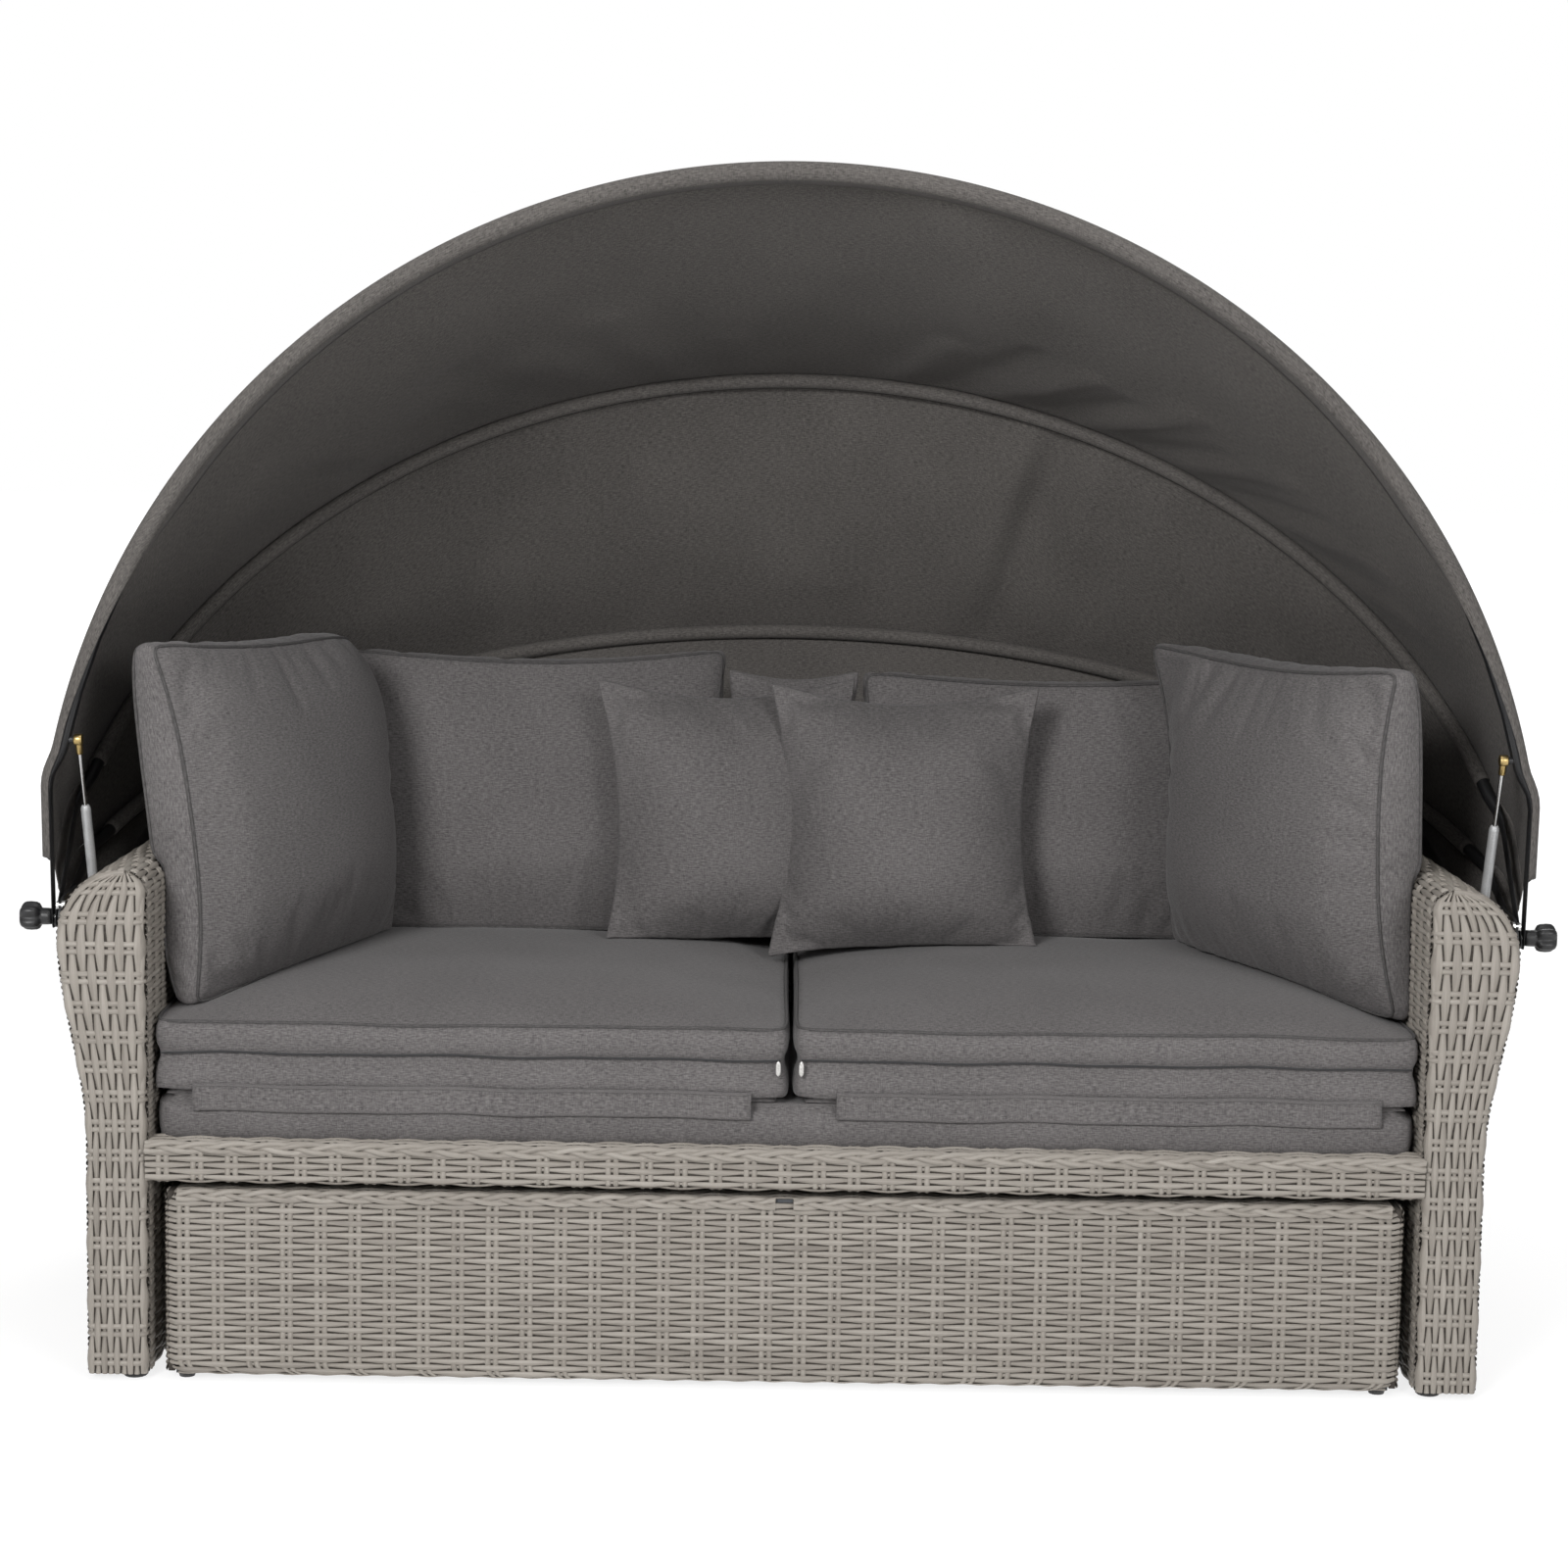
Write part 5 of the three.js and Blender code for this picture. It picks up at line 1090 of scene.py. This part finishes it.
back_line = np.array([[-HALF, FRONT + y, z] for y, z in (
    *((0.9, z) for z in np.linspace(0.0125, 0.684, 50)), (0.8985, 0.6885), (0.894, ARM_TOP), (0.86, ARM_TOP),
    (0.828, ARM_TOP), (0.8235, 0.6885), *((0.822, z) for z in np.linspace(0.684, 0.40, 20)))])
around_back, breadth = extruded(back_line, (1, 0, 0), -1)
woven("back", weave(around_back, 2 * HALF, breadth, samples=3, seed=4), "sofa", ["back_weave"])

rail_line = np.array([[-HALF, FRONT + y, z] for y, z in
                      ((0.05, 0.2765), (0.005, 0.2765), (0.0015, 0.278), (0, 0.281), (0, 0.30), (0, 0.322),
                       (0.002, 0.3255), (0.006, 0.3265), (0.05, 0.3265))])
around_rail, breadth = extruded(rail_line, (1, 0, 0), 1)
BRAID_TURN = 0.138
rail = weave(around_rail, 2 * HALF, breadth, seed=5)
rail += braid(flat((-HALF, FRONT - 0.0015, 0.3215), (1, 0, 0), (0, 0.2, 0.98), (0, -0.98, 0.2)), 2 * HALF,
              BRAID_TURN)
woven("front_rail", rail, "sofa", ["front_rail_weave"])

# Footstool's woven skin.
# The same strands on a low frame of its own that slides out on the floor, with rounded corners
# at the front and a braid along its upper edge.
STOOL_HALF = 0.830
STOOL_TOP = 0.2565
STOOL_LOW = 0.011


def stool_front(s, t):
    """Places a patch on the front: strands run across, shortened where the corners are rounded by a quarter
    circle. At both ends the surface turns back round a smaller one."""
    corner, turned_back = 0.018, 0.010
    z = STOOL_LOW + t
    into = np.clip(corner - np.minimum(z - STOOL_LOW, STOOL_TOP - z), 0, corner)
    half = STOOL_HALF - corner + np.sqrt(corner ** 2 - into ** 2)
    x = (s / STOOL_HALF - 1) * half
    turn = np.arcsin(np.clip((np.abs(x) - half + turned_back) / turned_back, 0, 1))
    y = FRONT + 0.004 + turned_back * (1 - np.cos(turn)) + 0 * z
    tilt = np.minimum(turn, 1.2)
    return np.stack([x, y, z + 0 * x], -1), np.stack([np.sign(x) * np.sin(tilt), -np.cos(tilt), 0 * tilt], -1)


stool = weave(stool_front, 2 * STOOL_HALF, STOOL_TOP - STOOL_LOW, seed=7)
stool += weave(flat((-0.82, FRONT + 0.008, STOOL_TOP), (1, 0, 0), (0, 1, 0), (0, 0, 1)), 1.64, 0.65,
               samples=3, seed=8)
for side, seed in ((-1, 9), (1, 10)):
    corner = (side * STOOL_HALF, FRONT + 0.010, STOOL_LOW)
    stool += weave(flat(corner, (0, 1, 0), (0, 0, 1), (side, 0, 0)), 0.648, 0.247, seed=seed)
for x0, x1 in ((-0.815, -0.012), (0.012, 0.815)):
    corner = (x0, FRONT + 0.003, STOOL_TOP - 0.001)
    stool += braid(flat(corner, (1, 0, 0), (0, 0.3, 0.95), (0, -0.95, 0.3)), x1 - x0, BRAID_TURN)
stool += braid(flat((-0.815, FRONT + 0.006, STOOL_LOW + 0.002), (1, 0, 0), (0, 1, 0), (0, -0.7, -0.7)), 1.63,
               0.093, 2, 0.001, 0.0008, 0.0024)
woven("footstool", stool, "footstool", ["footstool_front_weave", "footstool_side_weave_left",
      "footstool_side_weave_right", "footstool_top_weave"])

# Frame and feet.
# Steel tube painted dark grey and hidden by the weave, steel slats under the cushions, and black
# moulded feet. Paint and plastic are slightly uneven in colour and gloss, as they are after use.
TUBES = ["front_rail_tube", "rear_rail_tube", "back_top_tube", "arm_frame_left", "arm_frame_right",
         "seat_slat_1", "seat_slat_2", "seat_slat_3", "seat_slat_4", "footstool_front_tube",
         "footstool_rear_tube", "footstool_front_leg_left", "footstool_front_leg_right",
         "footstool_rear_leg_left", "footstool_rear_leg_right"]
FEET = ["front_glide_left", "front_glide_right", "rear_glide_left", "rear_glide_right"]


def hard_finish(name, dark, light, gloss, grain, depth, metallic=0.0):
    """Paint, plating or plastic. Its colour follows 55% fine and 45% wide noise, and its gloss mostly the
    wide one."""
    finish = Finish(name, Metallic=metallic)
    fine = finish.noise(grain)
    wide = finish.noise(grain / 14, 3.0)
    finish.colour(fine * 0.55 + wide * 0.45, (0.32, dark), (0.68, light))
    finish.feed("Roughness", gloss + wide * 0.22 - fine * 0.06)
    finish.bump(fine, depth, 0.5)
    return finish


def dress(names, finish):
    """Gives carried-over pieces their finish."""
    for name in names:
        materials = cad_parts[name].data.materials
        materials.clear()
        materials.append(finish.material)


dress(TUBES, hard_finish("frame_paint", (0.030, 0.030, 0.032), (0.066, 0.065, 0.067), 0.42, 420.0, 0.0002))
dress(FEET, hard_finish("moulded_feet", (0.014, 0.014, 0.015), (0.040, 0.039, 0.038), 0.45, 650.0, 0.0002))

# Pull tab.
# A loop of dark webbing on the footstool's front, under the rail, to draw it out by.
webbing = hard_finish("pull_webbing", (0.030, 0.033, 0.038), (0.085, 0.090, 0.098), 0.72, 900.0, 0.0004)
dress(["pull_tab"], webbing)

# Hinges.
# A black steel bracket stands off each arm on two plated spacers. Its bolt carries the flattened
# ends of the hoops, and a star knob of black plastic with five rounded lobes clamps them.
plated = hard_finish("plated_steel", (0.46, 0.46, 0.455), (0.70, 0.70, 0.69), 0.22, 800.0, 0.0001, 1.0)
bracket_coat = hard_finish("bracket_coat", (0.012, 0.012, 0.013), (0.034, 0.034, 0.035), 0.38, 700.0, 0.0002,
                           0.2)
knob_plastic = hard_finish("knob_plastic", (0.010, 0.010, 0.011), (0.030, 0.030, 0.031), 0.34, 1100.0, 0.0001)
dress([f"hinge_bracket_{side}" for side in ("left", "right")], bracket_coat)
dress([f"{part}_{side}" for part in ("hinge_bolt", "hinge_spacer_upper", "hinge_spacer_lower")
       for side in ("left", "right")], plated)
dress(["front_hoop"], black_coat)
KNOB_START = 1.0249


def turned(name, rings, finish):
    """A closed body from rings of points, with one face at each end."""
    return mesh_piece(name, rings, tube_faces(*rings.shape[:2]), finish)


# Rings from the hoops outwards: distance and radius in mm, and the depth of the hollows between the lobes.
along, size, lobed = np.array([
    (0, 10, 0), (1, 11.2, 0), (5, 11.6, 0), (12, 11.8, 0), (14.5, 12.2, 0.2), (16, 15, 0.7), (18, 18.2, 1),
    (22, 20.2, 1), (30, 20.9, 1), (36, 20.4, 1), (39, 19.2, 1), (41.2, 17, 0.9), (42.8, 13.8, 0.6),
    (43.7, 9.5, 0.3), (44, 4, 0)]).T[:, :, None]
angle = full_turn(60)
star = size / 1000 * (1 - lobed * 0.30 * (0.5 - 0.5 * np.cos(5 * angle)) ** 1.4)
for side, word in ((-1, "left"), (1, "right")):
    rings = stacked(side * (KNOB_START + along / 1000), PIVOT_Y + star * np.cos(angle),
                    PIVOT_Z + star * np.sin(angle))
    knob = turned(f"star_knob_{word}_body", rings[:, ::-side], knob_plastic)
    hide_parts(f"star_knob_{word}")
    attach(knob, f"knob_{word}")

# Gas springs.
# On each side a silver-painted cylinder with a polished rod holds the canopy up. Both end in brass
# sockets: one on the bracket's stud, the other on the stud of the front hoop.
SPRING_X = 0.982
LOWER_EYE = np.array([PIVOT_Y + 0.075, PIVOT_Z + 0.020])
UPPER_EYE = np.array([PIVOT_Y + 0.250 * math.sin(math.radians(TILT["front"])),
                      PIVOT_Z + 0.250 * math.cos(math.radians(TILT["front"]))])
SPRING_LENGTH = float(np.linalg.norm(UPPER_EYE - LOWER_EYE))
SPRING_WAY = (UPPER_EYE - LOWER_EYE) / SPRING_LENGTH

cylinder_paint = hard_finish("cylinder_paint", (0.46, 0.465, 0.47), (0.60, 0.605, 0.61), 0.30, 600.0, 0.0001,
                             0.35)
rod_chrome = hard_finish("rod_chrome", (0.58, 0.58, 0.58), (0.74, 0.74, 0.735), 0.10, 900.0, 0.00005, 1.0)
brass = hard_finish("brass_socket", (0.36, 0.26, 0.10), (0.58, 0.43, 0.20), 0.28, 700.0, 0.0001, 1.0)


def spring_part(name, side, profile, finish):
    """A body turned about the spring's line. The profile lists distance from the lower eye and radius."""
    distance, radius = np.array(profile).T[:, :, None]
    angle = full_turn(24)
    out, across = radius * np.cos(angle), radius * np.sin(angle)
    y = LOWER_EYE[0] + distance * SPRING_WAY[0] + across * SPRING_WAY[1]
    z = LOWER_EYE[1] + distance * SPRING_WAY[1] - across * SPRING_WAY[0]
    return turned(name, np.stack([side * (SPRING_X + out), y, z], -1)[:, ::-side], finish)


def spring_eye(name, side, distance):
    """A short round socket across the spring's line, around a stud, with a rounded rim."""
    middle = LOWER_EYE + SPRING_WAY * distance
    x = np.array([-0.006, -0.0056, -0.0045, 0, 0.0045, 0.0056, 0.006])[:, None]
    radius = np.array([0.0062, 0.0074, 0.0080, 0.0080, 0.0080, 0.0074, 0.0062])[:, None]
    angle = full_turn(24)
    rings = stacked(side * (SPRING_X + x), middle[0] + radius * np.cos(angle),
                    middle[1] + radius * np.sin(angle))
    return turned(name, rings[:, ::-side], brass)


for side, word in ((-1, "left"), (1, "right")):
    cylinder = spring_part(f"spring_cylinder_{word}", side, [
        (0.0125, 0.0040), (0.0130, 0.0060), (0.0145, 0.0068), (0.0165, 0.0070), (0.138, 0.0070),
        (0.1405, 0.0068), (0.1420, 0.0059), (0.1428, 0.0059), (0.1440, 0.0050),
        (0.1450, 0.0036)], cylinder_paint)
    neck = spring_part(f"lower_socket_{word}", side, [
        (0.004, 0.0040), (0.010, 0.0044), (0.0135, 0.0046)], brass)
    eye = spring_eye(f"lower_eye_{word}", side, 0)
    rod = spring_part(f"spring_rod_{word}", side, [
        (0.130, 0.0028), (0.131, 0.0030), (SPRING_LENGTH - 0.021, 0.0030),
        (SPRING_LENGTH - 0.020, 0.0028)], rod_chrome)
    collar = spring_part(f"upper_socket_{word}", side, [
        (SPRING_LENGTH - 0.022, 0.0030), (SPRING_LENGTH - 0.0215, 0.0046), (SPRING_LENGTH - 0.020, 0.0050),
        (SPRING_LENGTH - 0.006, 0.0050), (SPRING_LENGTH - 0.004, 0.0044)], brass)
    upper_eye = spring_eye(f"upper_eye_{word}", side, SPRING_LENGTH)
    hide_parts(f"gas_spring_tube_{word}")
    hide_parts(f"gas_spring_rod_{word}")
    for part, body, slot in ((cylinder, "tube", "spring_silver"), (neck, "tube", "zinc"), (eye, "tube", "zinc"),
                             (rod, "rod", "zinc"), (collar, "rod", "zinc"), (upper_eye, "rod", "zinc")):
        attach(part, f"spring_{body}_{word}")

bpy.context.scene.view_settings.view_transform = "Standard"
